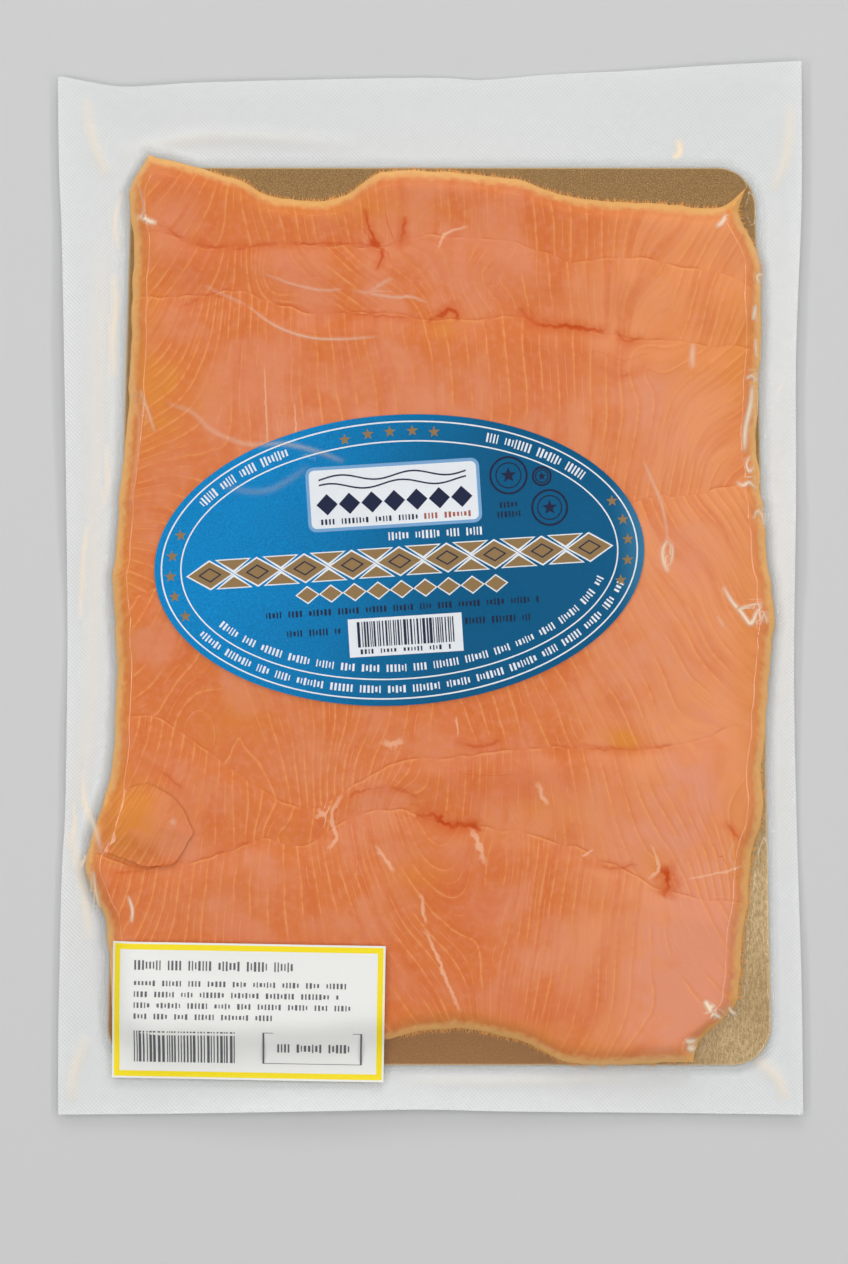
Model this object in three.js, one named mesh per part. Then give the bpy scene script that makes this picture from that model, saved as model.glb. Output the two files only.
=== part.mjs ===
// A sealed pack of cold-smoked salmon: slices shingled on a gold card, an oval label lying on them,
// a clear bag sealed flat all round, and a paper sticker at its lower left corner.
// The pack lies on its back. Millimetres, X across the pack, Y towards its upper edge, Z up,
// with the origin at the middle of the flat underside.
import * as THREE from "three";

const { clamp, lerp, smoothstep, degToRad } = THREE.MathUtils;

// Heights. The bag's back lies on the table, the card on the bag's back and the fish on the card.
const CONTACT_GAP = 0.1;
const BACK_THICKNESS = 0.4;
const CARD_THICKNESS = 1.0;
const CARD_FLOOR = BACK_THICKNESS + CONTACT_GAP;
const CARD_ROOF = CARD_FLOOR + CARD_THICKNESS;
const FISH_FLOOR = CARD_ROOF + CONTACT_GAP;
const LAYER_GAP = 0.5;

// The fish: how thick the shingled stack is, how far each slice stands above the one before it,
// and how its outer rim thins and rounds off.
const STACK_THICKNESS = 4.8;
const STEP_HEIGHT = 1.3;
const STEP_RISE = 4.0;
const SLICE_EDGE = 0.4;
const FISH_RIM = 1.2;
const RIM_ROUND = 8.0;
const HUMMOCK_HEIGHT = 0.22;
const RIPPLE_HEIGHT = 0.12;

// How far a slice runs on under the next one, and how it thins there.
const OVERLAP = 16.0;
const FEATHER = 0.5;
const FEATHER_RUN_OUT = [3.0, 8.0];

// The fish's four sides. Left and right are x for a height y, top and bottom are y for a place x.
const FISH_LEFT = [
  [-120.5, -86.5], [-107, -87], [-91, -88], [-84, -91.5], [-76, -94], [-70, -93], [-62.5, -90.5],
  [-52, -87.5], [-31, -86], [5, -86], [22, -84.5], [49.5, -82.5], [77, -81.5], [91, -81],
  [104, -82], [109, -81.5], [118, -76.5],
];
const FISH_RIGHT = [
  [-129.5, 71], [-123, 73.5], [-116.5, 80.5], [-110, 84], [-93.5, 85], [-73, 87.5], [-62.5, 90],
  [-38, 91], [-13.5, 93], [-6.5, 93], [7.5, 91.5], [21.5, 90.5], [28.5, 89], [56.5, 89],
  [77, 90], [87.5, 90], [94, 88], [99, 85], [103, 83.5], [109, 86],
];
const FISH_TOP = [
  [-76.5, 118], [-65, 115], [-51, 110.5], [-44, 107], [-34, 105], [-23, 107], [-16, 112],
  [-9, 113.3], [2.5, 113.5], [14, 113], [24, 111], [32, 108], [39, 106.5], [53, 105], [66.5, 104.3],
  [78.5, 103.5], [86, 109],
];
const FISH_BOTTOM = [
  [-86.5, -120.5], [-78, -124.5], [-49, -125], [-24.5, -124], [-11, -123], [-2, -120.5],
  [7.5, -120], [18, -121.5], [26.5, -124.5], [37.5, -129.3], [54.5, -129.5], [71, -129.5],
];

// The upper edges of slices 2 to 6, as y for a place x. Each slice lies on the foot of the one above.
const SLICE_EDGES = [
  [[-82, 97], [-72, 95.5], [-60, 92], [-38, 93.5], [-15, 93], [0, 95.5], [19, 94], [36, 90],
    [57, 89], [74, 87], [90, 81.5]],
  [[-81.5, 78.5], [-63, 79.5], [-48, 79], [-34, 75.5], [-18, 74], [6, 73], [22, 73.5], [36, 70.5],
    [52, 68], [66, 66.5], [89.5, 64.5]],
  [[-86, -3.5], [-75, -1], [-35.5, 6.5], [19, 17], [60, 23.5], [73.5, 25.5], [91, 27.5]],
  [[-86.5, -35], [-75, -35.5], [-62, -43], [-48, -54], [-33, -60], [-20, -53], [-8, -46.5],
    [6, -46.5], [30, -43.5], [52, -44], [66, -42.5], [80, -38], [92, -36]],
  [[-93, -71.5], [-76.5, -76], [-59, -73], [-46, -68.5], [-34, -69], [-22, -63], [-10, -60],
    [2, -64], [16, -66], [30, -68], [46, -74], [64, -82], [87, -86]],
];

// A loose flap of fish folded over at the lower left.
const FLAP_CENTRE = [-79, -64.5];
const FLAP_RADII = [14.5, 10.5];
const FLAP_TURN = degToRad(-12);
const FLAP_THICKNESS = 1.6;
const FLAP_RIM = 0.5;
const FLAP_ROUND = 0.6;
const FLAP_STIFFNESS = 2.5;

// The gold card, cut a little wider at its foot.
const CARD_TOP = 114.5;
const CARD_BOTTOM = -130;
const CARD_TOP_SIDES = [-81.8, 88.5];
const CARD_BOTTOM_SIDES = [-88, 92.7];
const CARD_CORNER = 10.5;
const CARD_CORNER_STEPS = 8;

// The oval label and the corner sticker. Their stiffness is how far across a dip they reach.
const LABEL_CENTRE = [-8.5, 7.5];
const LABEL_RADII = [66.5, 39.4];
const LABEL_TURN = degToRad(3.6);
const LABEL_THICKNESS = 0.3;
const LABEL_STIFFNESS = 6;
const STICKER_CENTRE = [-49.5, -115.2];
const STICKER_SIZE = [74, 37.5];
const STICKER_TURN = degToRad(-1);
const STICKER_THICKNESS = 0.3;
const STICKER_STIFFNESS = 5;

// The bag's four sides, as the fish's.
const BAG_LEFT = [
  [-143.5, -101.5], [-120, -101.4], [-99.5, -101], [-77.5, -100.5], [-59, -99.5], [-11.5, -99],
  [49.5, -99.5], [98, -100.5], [114, -101.2], [139.5, -101.5],
];
const BAG_RIGHT = [
  [-143.5, 101.5], [-106, 101], [-71.5, 100], [-24, 99], [35, 99.5], [65, 99.5], [105, 101],
  [143.5, 101],
];
const BAG_TOP = [
  [-101.5, 139.5], [-93, 137.8], [-83.5, 136.5], [-65, 137.5], [-30, 138.5], [2.5, 139],
  [14, 138.5], [32, 140], [55, 141], [80, 142.5], [101, 143.5],
];
const BAG_BOTTOM = [
  [-101.5, -143.5], [-72, -143.2], [-37, -142.5], [-3, -142], [18, -142.5], [60, -143],
  [101.5, -143.5],
];

// The sealed rim and its slow waves, each a count round the pack, a height and a phase, and the skirt
// that slopes down to the rim from the fish or from the bare card.
const RIM_THICKNESS = 0.6;
const RIM_LIFT = 1.5;
const RIM_LIFT_POWER = 1.6;
const RIM_WAVES = [[3, 0.9, 0.4], [7, 0.5, 1.3], [13, 0.25, 0]];
const WALL_GAP = 1.5;
const SKIRT_OVER_FISH = 3.6;
const SKIRT_OVER_CARD = 1.9;
const SKIRT_FALL = 3.2;
const SKIRT_REACH = 6.0;
const SKIRT_SHARE = 0.3;
const SKIRT_RINGS = [0, 0.2, 0.5, 1];
const RIM_RINGS = [0.35, 0.7, 1];

// How finely each piece is divided
const SLICE_COLUMNS = 26;
const SLICE_ROWS = [8, 8, 12, 12, 10, 10];
const HIDDEN_ROWS = 3;
const CROWDING_AT_EDGE = 1.25;
const CROWDING_AT_SIDES = 0.55;
const LABEL_STEPS = [18, 12];
const STICKER_STEPS = [14, 7];
const FLAP_STEPS = [10, 8];
const FISH_SIDE_STEPS = [60, 80];
const BAG_SIDE_STEPS = [26, 36];

// A smooth curve through points whose first number rises, as a function of that number.
function through(points) {
  const slopes = points.map((point, i) => {
    const before = points[Math.max(i - 1, 0)];
    const after = points[Math.min(i + 1, points.length - 1)];
    return (after[1] - before[1]) / (after[0] - before[0]);
  });
  return (at) => {
    let i = 0;
    while (i < points.length - 2 && at > points[i + 1][0]) i += 1;
    const [a, b] = [points[i], points[i + 1]];
    const span = b[0] - a[0];
    const t = clamp((at - a[0]) / span, 0, 1);
    const rise = t * t * (3 - 2 * t);
    const bend = t * (1 - t) * span;
    return lerp(a[1], b[1], rise) + bend * ((1 - t) * slopes[i] - t * slopes[i + 1]);
  };
}

const fishLeft = through(FISH_LEFT);
const fishRight = through(FISH_RIGHT);
const fishTop = through(FISH_TOP);
const fishBottom = through(FISH_BOTTOM);
const upperEdges = [fishTop, ...SLICE_EDGES.map(through)];
const lastSlice = upperEdges.length - 1;

// From 0 at an edge to 1 at a distance in from it, round like the side of a cushion.
function rounded(distance, run) {
  return 1 - (1 - clamp(distance / run, 0, 1)) ** 2;
}

function insideFish(x, y) {
  const sides = Math.min(x - fishLeft(y), fishRight(y) - x);
  return Math.min(sides, fishTop(x) - y, y - fishBottom(x));
}

// Broad, low unevenness of the pressed fish.
function undulation(x, y) {
  const hummocks = Math.sin(x / 11 + y / 29 + 0.6) * Math.cos(y / 14 - x / 37);
  return HUMMOCK_HEIGHT * hummocks + RIPPLE_HEIGHT * Math.sin(y / 8.5 + x / 23);
}

// How far a slice shows below its upper edge before the next one covers it.
function shownLength(slice, x) {
  const foot = slice < lastSlice ? upperEdges[slice + 1](x) : fishBottom(x) - OVERLAP;
  return upperEdges[slice](x) - foot;
}

// The top of one slice. It is highest just below its upper edge, sinks to the plain thickness where
// the next slice begins, and thins to a feather under that one.
function sliceRoof(slice, x, y) {
  const below = upperEdges[slice](x) - y;
  const shown = shownLength(slice, x);
  const hidden = clamp((below - shown) / OVERLAP, 0, 1);
  const lip = LAYER_GAP + SLICE_EDGE;
  const start = slice > 0 ? lip : STEP_HEIGHT / 2;
  const crest = lerp(start, STEP_HEIGHT, smoothstep(below, 0, STEP_RISE));
  const step = crest * (1 - smoothstep(below, 0, shown));
  const middle = lerp(STACK_THICKNESS + step, FEATHER, hidden) + undulation(x, y) * (1 - hidden);
  const lipRim = slice > 0 ? lip * (1 - smoothstep(below, 0, STEP_RISE)) : 0;
  const rim = lerp(FISH_RIM + lipRim, FEATHER, smoothstep(below - shown, 0, STEP_RISE));
  return FISH_FLOOR + lerp(rim, middle, rounded(insideFish(x, y), RIM_ROUND));
}

// The underside of one slice: on the slice before it near its upper edge, then on the card.
function sliceFloor(slice, x, y) {
  if (slice === 0) return FISH_FLOOR;
  const past = upperEdges[slice](x) - y - OVERLAP;
  const rest = sliceRoof(slice - 1, x, y) + LAYER_GAP;
  return lerp(rest, FISH_FLOOR, smoothstep(past, ...FEATHER_RUN_OUT));
}

// The top of whatever shows at a place: the fish's upper surface, or the card outside it.
function shownRoof(x, y) {
  if (insideFish(x, y) <= 0) return CARD_ROOF;
  let slice = 0;
  while (slice < lastSlice && y < upperEdges[slice + 1](x)) slice += 1;
  return sliceRoof(slice, x, y);
}

// The least height that clears everything within reach of a place, as stiff paper lies.
function bridged(x, y, reach, surface) {
  let highest = surface(x, y);
  for (let i = 0; i < 8; i += 1) {
    const angle = (i * Math.PI) / 4;
    highest = Math.max(highest, surface(x + reach * Math.cos(angle), y + reach * Math.sin(angle)));
  }
  return highest;
}

// One closed solid between two surfaces over a plan that is a bent rectangle.
// plan takes u and v from 0 to 1 and gives x and y, with v to the left of u seen from above.
function slab(columns, rows, plan, floor, roof) {
  const positions = [];
  const width = columns + 1;
  const layer = width * (rows + 1);
  for (const height of [roof, floor]) {
    for (let j = 0; j <= rows; j += 1) {
      for (let i = 0; i <= columns; i += 1) {
        const [x, y] = plan(i / columns, j / rows);
        positions.push(x, y, height(x, y));
      }
    }
  }
  const faces = [];
  const quad = (a, b, c, d) => faces.push(a, b, c, a, c, d);
  const at = (i, j) => j * width + i;
  for (let j = 0; j < rows; j += 1) {
    for (let i = 0; i < columns; i += 1) {
      const corners = [at(i, j), at(i + 1, j), at(i + 1, j + 1), at(i, j + 1)];
      quad(...corners);
      quad(...corners.reverse().map((corner) => corner + layer));
    }
  }
  const border = [];
  for (let i = 0; i < columns; i += 1) border.push(at(i, 0));
  for (let j = 0; j < rows; j += 1) border.push(at(columns, j));
  for (let i = columns; i > 0; i -= 1) border.push(at(i, rows));
  for (let j = rows; j > 0; j -= 1) border.push(at(0, j));
  border.forEach((a, n) => {
    const b = border[(n + 1) % border.length];
    quad(a, a + layer, b + layer, b);
  });
  return solid(positions, faces);
}

function solid(positions, faces) {
  const geometry = new THREE.BufferGeometry();
  geometry.setAttribute("position", new THREE.Float32BufferAttribute(positions, 3));
  geometry.setIndex(faces);
  geometry.computeVertexNormals();
  return geometry;
}

// Columns crowd a little towards both sides, where the fish rounds off.
function crowded(u) {
  return lerp(u, 0.5 - 0.5 * Math.cos(Math.PI * u), CROWDING_AT_SIDES);
}

// The plan of one slice. Its lowest rows lie under the next slice, and one row follows that one's edge.
function slicePlan(slice) {
  const hiddenShare = slice < lastSlice ? HIDDEN_ROWS / SLICE_ROWS[slice] : 0;
  const foot = slice < lastSlice ? upperEdges[slice + 1] : fishBottom;
  return (u, v) => {
    const down = ((1 - v) / (1 - hiddenShare)) ** CROWDING_AT_EDGE;
    let x = lerp(fishLeft(0), fishRight(0), u);
    let y = 0;
    for (let pass = 0; pass < 6; pass += 1) {
      const hidden = OVERLAP * (1 - v / hiddenShare);
      y = v < hiddenShare ? foot(x) - hidden : lerp(upperEdges[slice](x), foot(x), down);
      x = lerp(fishLeft(y), fishRight(y), crowded(u));
    }
    return [x, y];
  };
}

// A disc's plan on a square grid, so that an oval is a bent rectangle too.
function ovalPlan(centre, radii, turn) {
  return (u, v) => {
    const [a, b] = [2 * u - 1, 2 * v - 1];
    const x = radii[0] * a * Math.sqrt(1 - (b * b) / 2);
    const y = radii[1] * b * Math.sqrt(1 - (a * a) / 2);
    return turned(centre, x, y, turn);
  };
}

function oblongPlan(centre, size, turn) {
  return (u, v) => turned(centre, (u - 0.5) * size[0], (v - 0.5) * size[1], turn);
}

function turned(centre, x, y, turn) {
  const [c, s] = [Math.cos(turn), Math.sin(turn)];
  return [centre[0] + c * x - s * y, centre[1] + s * x + c * y];
}

// How far in from an oval's rim a place is, from 1 at its centre to 0 at the rim.
function insideOval(centre, radii, turn, x, y) {
  const [a, b] = turned([0, 0], x - centre[0], y - centre[1], -turn);
  return 1 - Math.hypot(a / radii[0], b / radii[1]);
}

function sliceGeometry(slice) {
  const floor = (x, y) => sliceFloor(slice, x, y);
  const roof = (x, y) => sliceRoof(slice, x, y);
  return slab(SLICE_COLUMNS, SLICE_ROWS[slice], slicePlan(slice), floor, roof);
}

function flapGeometry() {
  const plan = ovalPlan(FLAP_CENTRE, FLAP_RADII, FLAP_TURN);
  const floor = (x, y) => bridged(x, y, FLAP_STIFFNESS, shownRoof) + LAYER_GAP;
  const roof = (x, y) => {
    const inside = insideOval(FLAP_CENTRE, FLAP_RADII, FLAP_TURN, x, y);
    return floor(x, y) + lerp(FLAP_RIM, FLAP_THICKNESS, rounded(inside, FLAP_ROUND));
  };
  return slab(...FLAP_STEPS, plan, floor, roof);
}

// The share of a corner's run at which a cubic curve's handles make a quarter circle.
const QUARTER_ROUND = 0.5523;

function cardGeometry() {
  const corners = [
    [CARD_BOTTOM_SIDES[0], CARD_BOTTOM],
    [CARD_BOTTOM_SIDES[1], CARD_BOTTOM],
    [CARD_TOP_SIDES[1], CARD_TOP],
    [CARD_TOP_SIDES[0], CARD_TOP],
  ].map(([x, y]) => new THREE.Vector2(x, y));
  const outline = new THREE.Shape();
  corners.forEach((corner, i) => {
    const before = corners[(i + 3) % 4];
    const after = corners[(i + 1) % 4];
    const back = before.clone().sub(corner).normalize();
    const on = after.clone().sub(corner).normalize();
    const start = corner.clone().addScaledVector(back, CARD_CORNER);
    const end = corner.clone().addScaledVector(on, CARD_CORNER);
    const first = start.clone().addScaledVector(back, -CARD_CORNER * QUARTER_ROUND);
    const second = end.clone().addScaledVector(on, -CARD_CORNER * QUARTER_ROUND);
    if (i === 0) outline.moveTo(start.x, start.y);
    else outline.lineTo(start.x, start.y);
    outline.bezierCurveTo(first.x, first.y, second.x, second.y, end.x, end.y);
  });
  const sheet = { depth: CARD_THICKNESS, bevelEnabled: false, curveSegments: CARD_CORNER_STEPS };
  return new THREE.ExtrudeGeometry(outline, sheet);
}

function labelFloor(x, y) {
  return bridged(x, y, LABEL_STIFFNESS, shownRoof) + LAYER_GAP;
}

function labelGeometry() {
  const plan = ovalPlan(LABEL_CENTRE, LABEL_RADII, LABEL_TURN);
  return slab(...LABEL_STEPS, plan, labelFloor, (x, y) => labelFloor(x, y) + LABEL_THICKNESS);
}

function stickerGeometry() {
  const plan = oblongPlan(STICKER_CENTRE, STICKER_SIZE, STICKER_TURN);
  const filmRoof = (x, y) => Math.max(shownRoof(x, y), SKIRT_OVER_CARD);
  const floor = (x, y) => bridged(x, y, STICKER_STIFFNESS, filmRoof) + LAYER_GAP;
  return slab(...STICKER_STEPS, plan, floor, (x, y) => floor(x, y) + STICKER_THICKNESS);
}

// The outline that four sides make, anticlockwise from the lower left corner, as points.
function outlineOf(left, right, top, bottom, steps) {
  const [acrossSteps, upSteps] = steps;
  const ends = (points) => [points[0][0], points[points.length - 1][0]];
  const [lowX, highX] = ends(bottom);
  const [topLowX, topHighX] = ends(top);
  const [leftLow, leftHigh] = ends(left);
  const [rightLow, rightHigh] = ends(right);
  const [leftAt, rightAt, topAt, bottomAt] = [left, right, top, bottom].map(through);
  const points = [];
  for (let i = 0; i < acrossSteps; i += 1) {
    const x = lerp(lowX, highX, i / acrossSteps);
    points.push(new THREE.Vector2(x, bottomAt(x)));
  }
  for (let i = 0; i < upSteps; i += 1) {
    const y = lerp(rightLow, rightHigh, i / upSteps);
    points.push(new THREE.Vector2(rightAt(y), y));
  }
  for (let i = 0; i < acrossSteps; i += 1) {
    const x = lerp(topHighX, topLowX, i / acrossSteps);
    points.push(new THREE.Vector2(x, topAt(x)));
  }
  for (let i = 0; i < upSteps; i += 1) {
    const y = lerp(leftHigh, leftLow, i / upSteps);
    points.push(new THREE.Vector2(leftAt(y), y));
  }
  return points;
}

// How far an outline reaches from the origin in a direction.
function reach(outline, angle) {
  const along = new THREE.Vector2(Math.cos(angle), Math.sin(angle));
  let farthest = 0;
  outline.forEach((a, i) => {
    const b = outline[(i + 1) % outline.length];
    const side = b.clone().sub(a);
    const across = along.cross(side);
    if (Math.abs(across) < 1e-9) return;
    const distance = a.cross(side) / across;
    const share = a.cross(along) / across;
    if (distance > 0 && share >= 0 && share <= 1) farthest = Math.max(farthest, distance);
  });
  return farthest;
}

function skirtHeight(distance, height) {
  return RIM_THICKNESS + (height - RIM_THICKNESS) * Math.exp(-distance / SKIRT_FALL);
}

// The flat rim lifts off the table towards its outer edge, in a few slow waves round the pack.
function rimLift(angle, share) {
  const waves = RIM_WAVES.map(([count, height, phase]) => height * Math.sin(count * angle + phase));
  return Math.max(0, waves.reduce((sum, wave) => sum + wave, RIM_LIFT)) * share ** RIM_LIFT_POWER;
}

// The bag as one closed solid: a thin back, a recess that holds the card and the fish, a skirt
// sloping down from them, and the sealed rim.
function bagGeometry(card) {
  const outer = outlineOf(BAG_LEFT, BAG_RIGHT, BAG_TOP, BAG_BOTTOM, BAG_SIDE_STEPS);
  const fish = outlineOf(FISH_LEFT, FISH_RIGHT, FISH_TOP, FISH_BOTTOM, FISH_SIDE_STEPS);
  const angles = outer.map((point) => Math.atan2(point.y, point.x));
  const fishReach = angles.map((angle) => reach(fish, angle));
  const cardReach = angles.map((angle) => reach(card, angle));
  const count = outer.length;
  const spread = (values, rule) => values.map((value, i) => {
    return rule(values[(i + count - 1) % count], value, values[(i + 1) % count]);
  });
  const contents = angles.map((_, i) => Math.max(fishReach[i], cardReach[i]));
  const wall = spread(contents, Math.max).map((distance) => distance + WALL_GAP);
  const bare = angles.map((_, i) => clamp((cardReach[i] - fishReach[i]) / 2, 0, 1));
  const skirt = spread(bare, (a, b, c) => lerp(SKIRT_OVER_FISH, SKIRT_OVER_CARD, (a + b + c) / 3));
  const rim = outer.map((point, i) => point.length() - wall[i]);
  const skirtRun = rim.map((run) => Math.min(SKIRT_REACH, run * SKIRT_SHARE));
  const runs = [
    ...SKIRT_RINGS.map((share) => skirtRun.map((run) => run * share)),
    ...RIM_RINGS.map((share) => skirtRun.map((run, i) => lerp(run, rim[i], share))),
  ];
  const loop = (run, heightOf) => angles.map((angle, i) => {
    const distance = wall[i] + run[i];
    const height = heightOf(i, rimLift(angle, run[i] / rim[i]));
    return [distance * Math.cos(angle), distance * Math.sin(angle), height];
  });
  const above = runs.map((run) => loop(run, (i, lift) => lift + skirtHeight(run[i], skirt[i])));
  const below = runs.map((run) => loop(run, (i, lift) => lift));
  const recess = loop(runs[0], () => BACK_THICKNESS);
  return lofted([0, 0, BACK_THICKNESS], [recess, ...above, ...below.reverse()], [0, 0, 0]);
}

// A closed solid from loops that run from the middle of its upper side out and round to its underside.
function lofted(first, loops, last) {
  const count = loops[0].length;
  const positions = [...first, ...loops.flat(2), ...last];
  const end = 1 + loops.length * count;
  const faces = [];
  for (let i = 0; i < count; i += 1) {
    const next = (i + 1) % count;
    faces.push(0, 1 + i, 1 + next);
    for (let ring = 0; ring < loops.length - 1; ring += 1) {
      const [a, b] = [1 + ring * count, 1 + (ring + 1) * count];
      faces.push(a + i, b + i, b + next, a + i, b + next, a + next);
    }
    const rim = 1 + (loops.length - 1) * count;
    faces.push(rim + i, end, rim + next);
  }
  return solid(positions, faces);
}

function material(colour, roughness, metalness = 0) {
  return new THREE.MeshStandardMaterial({ color: colour, roughness, metalness });
}

const fishMaterial = material("#dc7f50", 0.4);
const cardMaterial = material("#9a7645", 0.42, 0.6);
const labelMaterial = material("#0f7fb8", 0.35);
const stickerMaterial = material("#f4f2e6", 0.6);
const bagMaterial = material("#dfe3e3", 0.3);
bagMaterial.transparent = true;
bagMaterial.opacity = 0.45;

const pack = new THREE.Group();

function addPiece(name, geometry, look, height = 0) {
  const piece = new THREE.Mesh(geometry, look);
  piece.name = name;
  piece.position.z = height;
  pack.add(piece);
}

const card = cardGeometry();
addPiece("bag", bagGeometry(card.parameters.shapes.getPoints(CARD_CORNER_STEPS)), bagMaterial);
addPiece("gold_card", card, cardMaterial, CARD_FLOOR);
upperEdges.forEach((_, slice) => addPiece(`slice_${slice + 1}`, sliceGeometry(slice), fishMaterial));
addPiece("slice_flap", flapGeometry(), fishMaterial);
addPiece("oval_label", labelGeometry(), labelMaterial);
addPiece("corner_sticker", stickerGeometry(), stickerMaterial);

export default pack;
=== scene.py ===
"""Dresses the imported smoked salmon: slices with their fat lines, a gold card, the printed label and
sticker, and the clear film that clings over everything."""
import math

import bmesh
import bpy
import numpy as np
from bpy.props import FloatProperty, FloatVectorProperty, PointerProperty
from bpy.types import Operator, Panel, PropertyGroup
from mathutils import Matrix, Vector


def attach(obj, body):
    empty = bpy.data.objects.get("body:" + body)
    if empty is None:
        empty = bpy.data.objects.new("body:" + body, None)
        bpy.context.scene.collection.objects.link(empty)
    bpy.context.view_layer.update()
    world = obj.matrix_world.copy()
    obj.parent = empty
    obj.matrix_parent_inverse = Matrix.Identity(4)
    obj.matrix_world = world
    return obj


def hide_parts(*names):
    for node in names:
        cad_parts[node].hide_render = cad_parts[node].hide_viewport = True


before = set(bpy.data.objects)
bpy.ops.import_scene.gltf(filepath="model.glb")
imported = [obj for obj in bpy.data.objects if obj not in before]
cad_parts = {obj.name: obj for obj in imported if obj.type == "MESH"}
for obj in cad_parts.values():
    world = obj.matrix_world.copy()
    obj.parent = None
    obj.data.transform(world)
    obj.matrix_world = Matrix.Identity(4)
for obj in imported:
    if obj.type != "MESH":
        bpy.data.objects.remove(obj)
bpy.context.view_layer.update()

bl_info = {
    "name": "Smoked salmon pack",
    "version": (1, 0, 0),
    "blender": (4, 5, 0),
    "location": "View3D > Sidebar > Salmon Pack",
    "description": "Builds a sealed pack of sliced smoked salmon on a gold card",
    "category": "Add Mesh",
}

BODY = "root"
MM = 0.001

# Plan of the pack in millimetres. X runs across it and Y to its upper edge, as in the frame.
# Left and right sides are x for a height y, top and bottom sides are y for a place x.
FISH_LEFT = [
    (-120.5, -86.5), (-107, -87), (-91, -88), (-84, -91.5), (-76, -94), (-70, -93), (-62.5, -90.5),
    (-52, -87.5), (-31, -86), (5, -86), (22, -84.5), (49.5, -82.5), (77, -81.5), (91, -81),
    (104, -82), (109, -81.5), (118, -76.5),
]
FISH_RIGHT = [
    (-129.5, 71), (-123, 73.5), (-116.5, 80.5), (-110, 84), (-93.5, 85), (-73, 87.5), (-62.5, 90),
    (-38, 91), (-13.5, 93), (-6.5, 93), (7.5, 91.5), (21.5, 90.5), (28.5, 89), (56.5, 89),
    (77, 90), (87.5, 90), (94, 88), (99, 85), (103, 83.5), (109, 86),
]
FISH_TOP = [
    (-76.5, 118), (-65, 115), (-51, 110.5), (-44, 107), (-34, 105), (-23, 107), (-16, 112),
    (-9, 113.3), (2.5, 113.5), (14, 113), (24, 111), (32, 108), (39, 106.5), (53, 105),
    (66.5, 104.3), (78.5, 103.5), (86, 109),
]
FISH_BOTTOM = [
    (-86.5, -120.5), (-78, -124.5), (-49, -125), (-24.5, -124), (-11, -123), (-2, -120.5),
    (7.5, -120), (18, -121.5), (26.5, -124.5), (37.5, -129.3), (54.5, -129.5), (71, -129.5),
]
SLICE_EDGES = [
    [(-82, 97), (-72, 95.5), (-60, 92), (-38, 93.5), (-15, 93), (0, 95.5), (19, 94), (36, 90),
     (57, 89), (74, 87), (90, 81.5)],
    [(-81.5, 78.5), (-63, 79.5), (-48, 79), (-34, 75.5), (-18, 74), (6, 73), (22, 73.5), (36, 70.5),
     (52, 68), (66, 66.5), (89.5, 64.5)],
    [(-86, -3.5), (-75, -1), (-35.5, 6.5), (19, 17), (60, 23.5), (73.5, 25.5), (91, 27.5)],
    [(-86.5, -35), (-75, -35.5), (-62, -43), (-48, -54), (-33, -60), (-20, -53), (-8, -46.5),
     (6, -46.5), (30, -43.5), (52, -44), (66, -42.5), (80, -38), (92, -36)],
    [(-93, -71.5), (-76.5, -76), (-59, -73), (-46, -68.5), (-34, -69), (-22, -63), (-10, -60),
     (2, -64), (16, -66), (30, -68), (46, -74), (64, -82), (87, -86)],
]
BAG_LEFT = [
    (-143.5, -101.5), (-120, -101.4), (-99.5, -101), (-77.5, -100.5), (-59, -99.5), (-11.5, -99),
    (49.5, -99.5), (98, -100.5), (114, -101.2), (139.5, -101.5),
]
BAG_RIGHT = [
    (-143.5, 101.5), (-106, 101), (-71.5, 100), (-24, 99), (35, 99.5), (65, 99.5), (105, 101),
    (143.5, 101),
]
BAG_TOP = [
    (-101.5, 139.5), (-93, 137.8), (-83.5, 136.5), (-65, 137.5), (-30, 138.5), (2.5, 139),
    (14, 138.5), (32, 140), (55, 141), (80, 142.5), (101, 143.5),
]
BAG_BOTTOM = [
    (-101.5, -143.5), (-72, -143.2), (-37, -142.5), (-3, -142), (18, -142.5), (60, -143),
    (101.5, -143.5),
]

# Card in millimetres
CARD_TOP = 114.5
CARD_BOTTOM = -130.0
CARD_TOP_SIDES = (-81.8, 88.5)
CARD_BOTTOM_SIDES = (-88.0, 92.7)
CARD_CORNER = 10.5
CORNER_STEPS = 16
CARD_BEVEL = 0.12
CARD_FLOOR = 0.5
CARD_ROOF = 1.5

# Fish in millimetres
FISH_FLOOR = 1.6
STACK_THICKNESS = 4.8
STEP_HEIGHT = 0.8
STEP_RISE = 7.0
SLICE_LIP = 0.15
LIP_ROUND = 0.9
LIP_START = 0.35
SLICE_GAP = 0.02
THINNEST = 0.05
FOLD_DIP = 0.1
BUMPS = 0.1
PITS = 0.02
FISH_RIM = 0.5
RIM_ROUND = 5.5
OVERLAP = 16.0
FEATHER = 0.5
FEATHER_RUN_OUT = (3, 8)
FLAP_CENTRE = (-79, -64.5)
FLAP_RADII = (14.5, 10.5)
FLAP_TURN = math.radians(-12)
FLAP_THICKNESS = 1.5
FLAP_LIP = 0.03
FLAP_RISE = 0.8
FLAP_BUMPS = 0.08
FLAP_WAVES = [(3, 0.05, 4.0), (5, 0.035, 0.4), (8, 0.02, 1.0), (13, 0.012, 0.0)]
FLAP_INSET = 0.5

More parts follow.
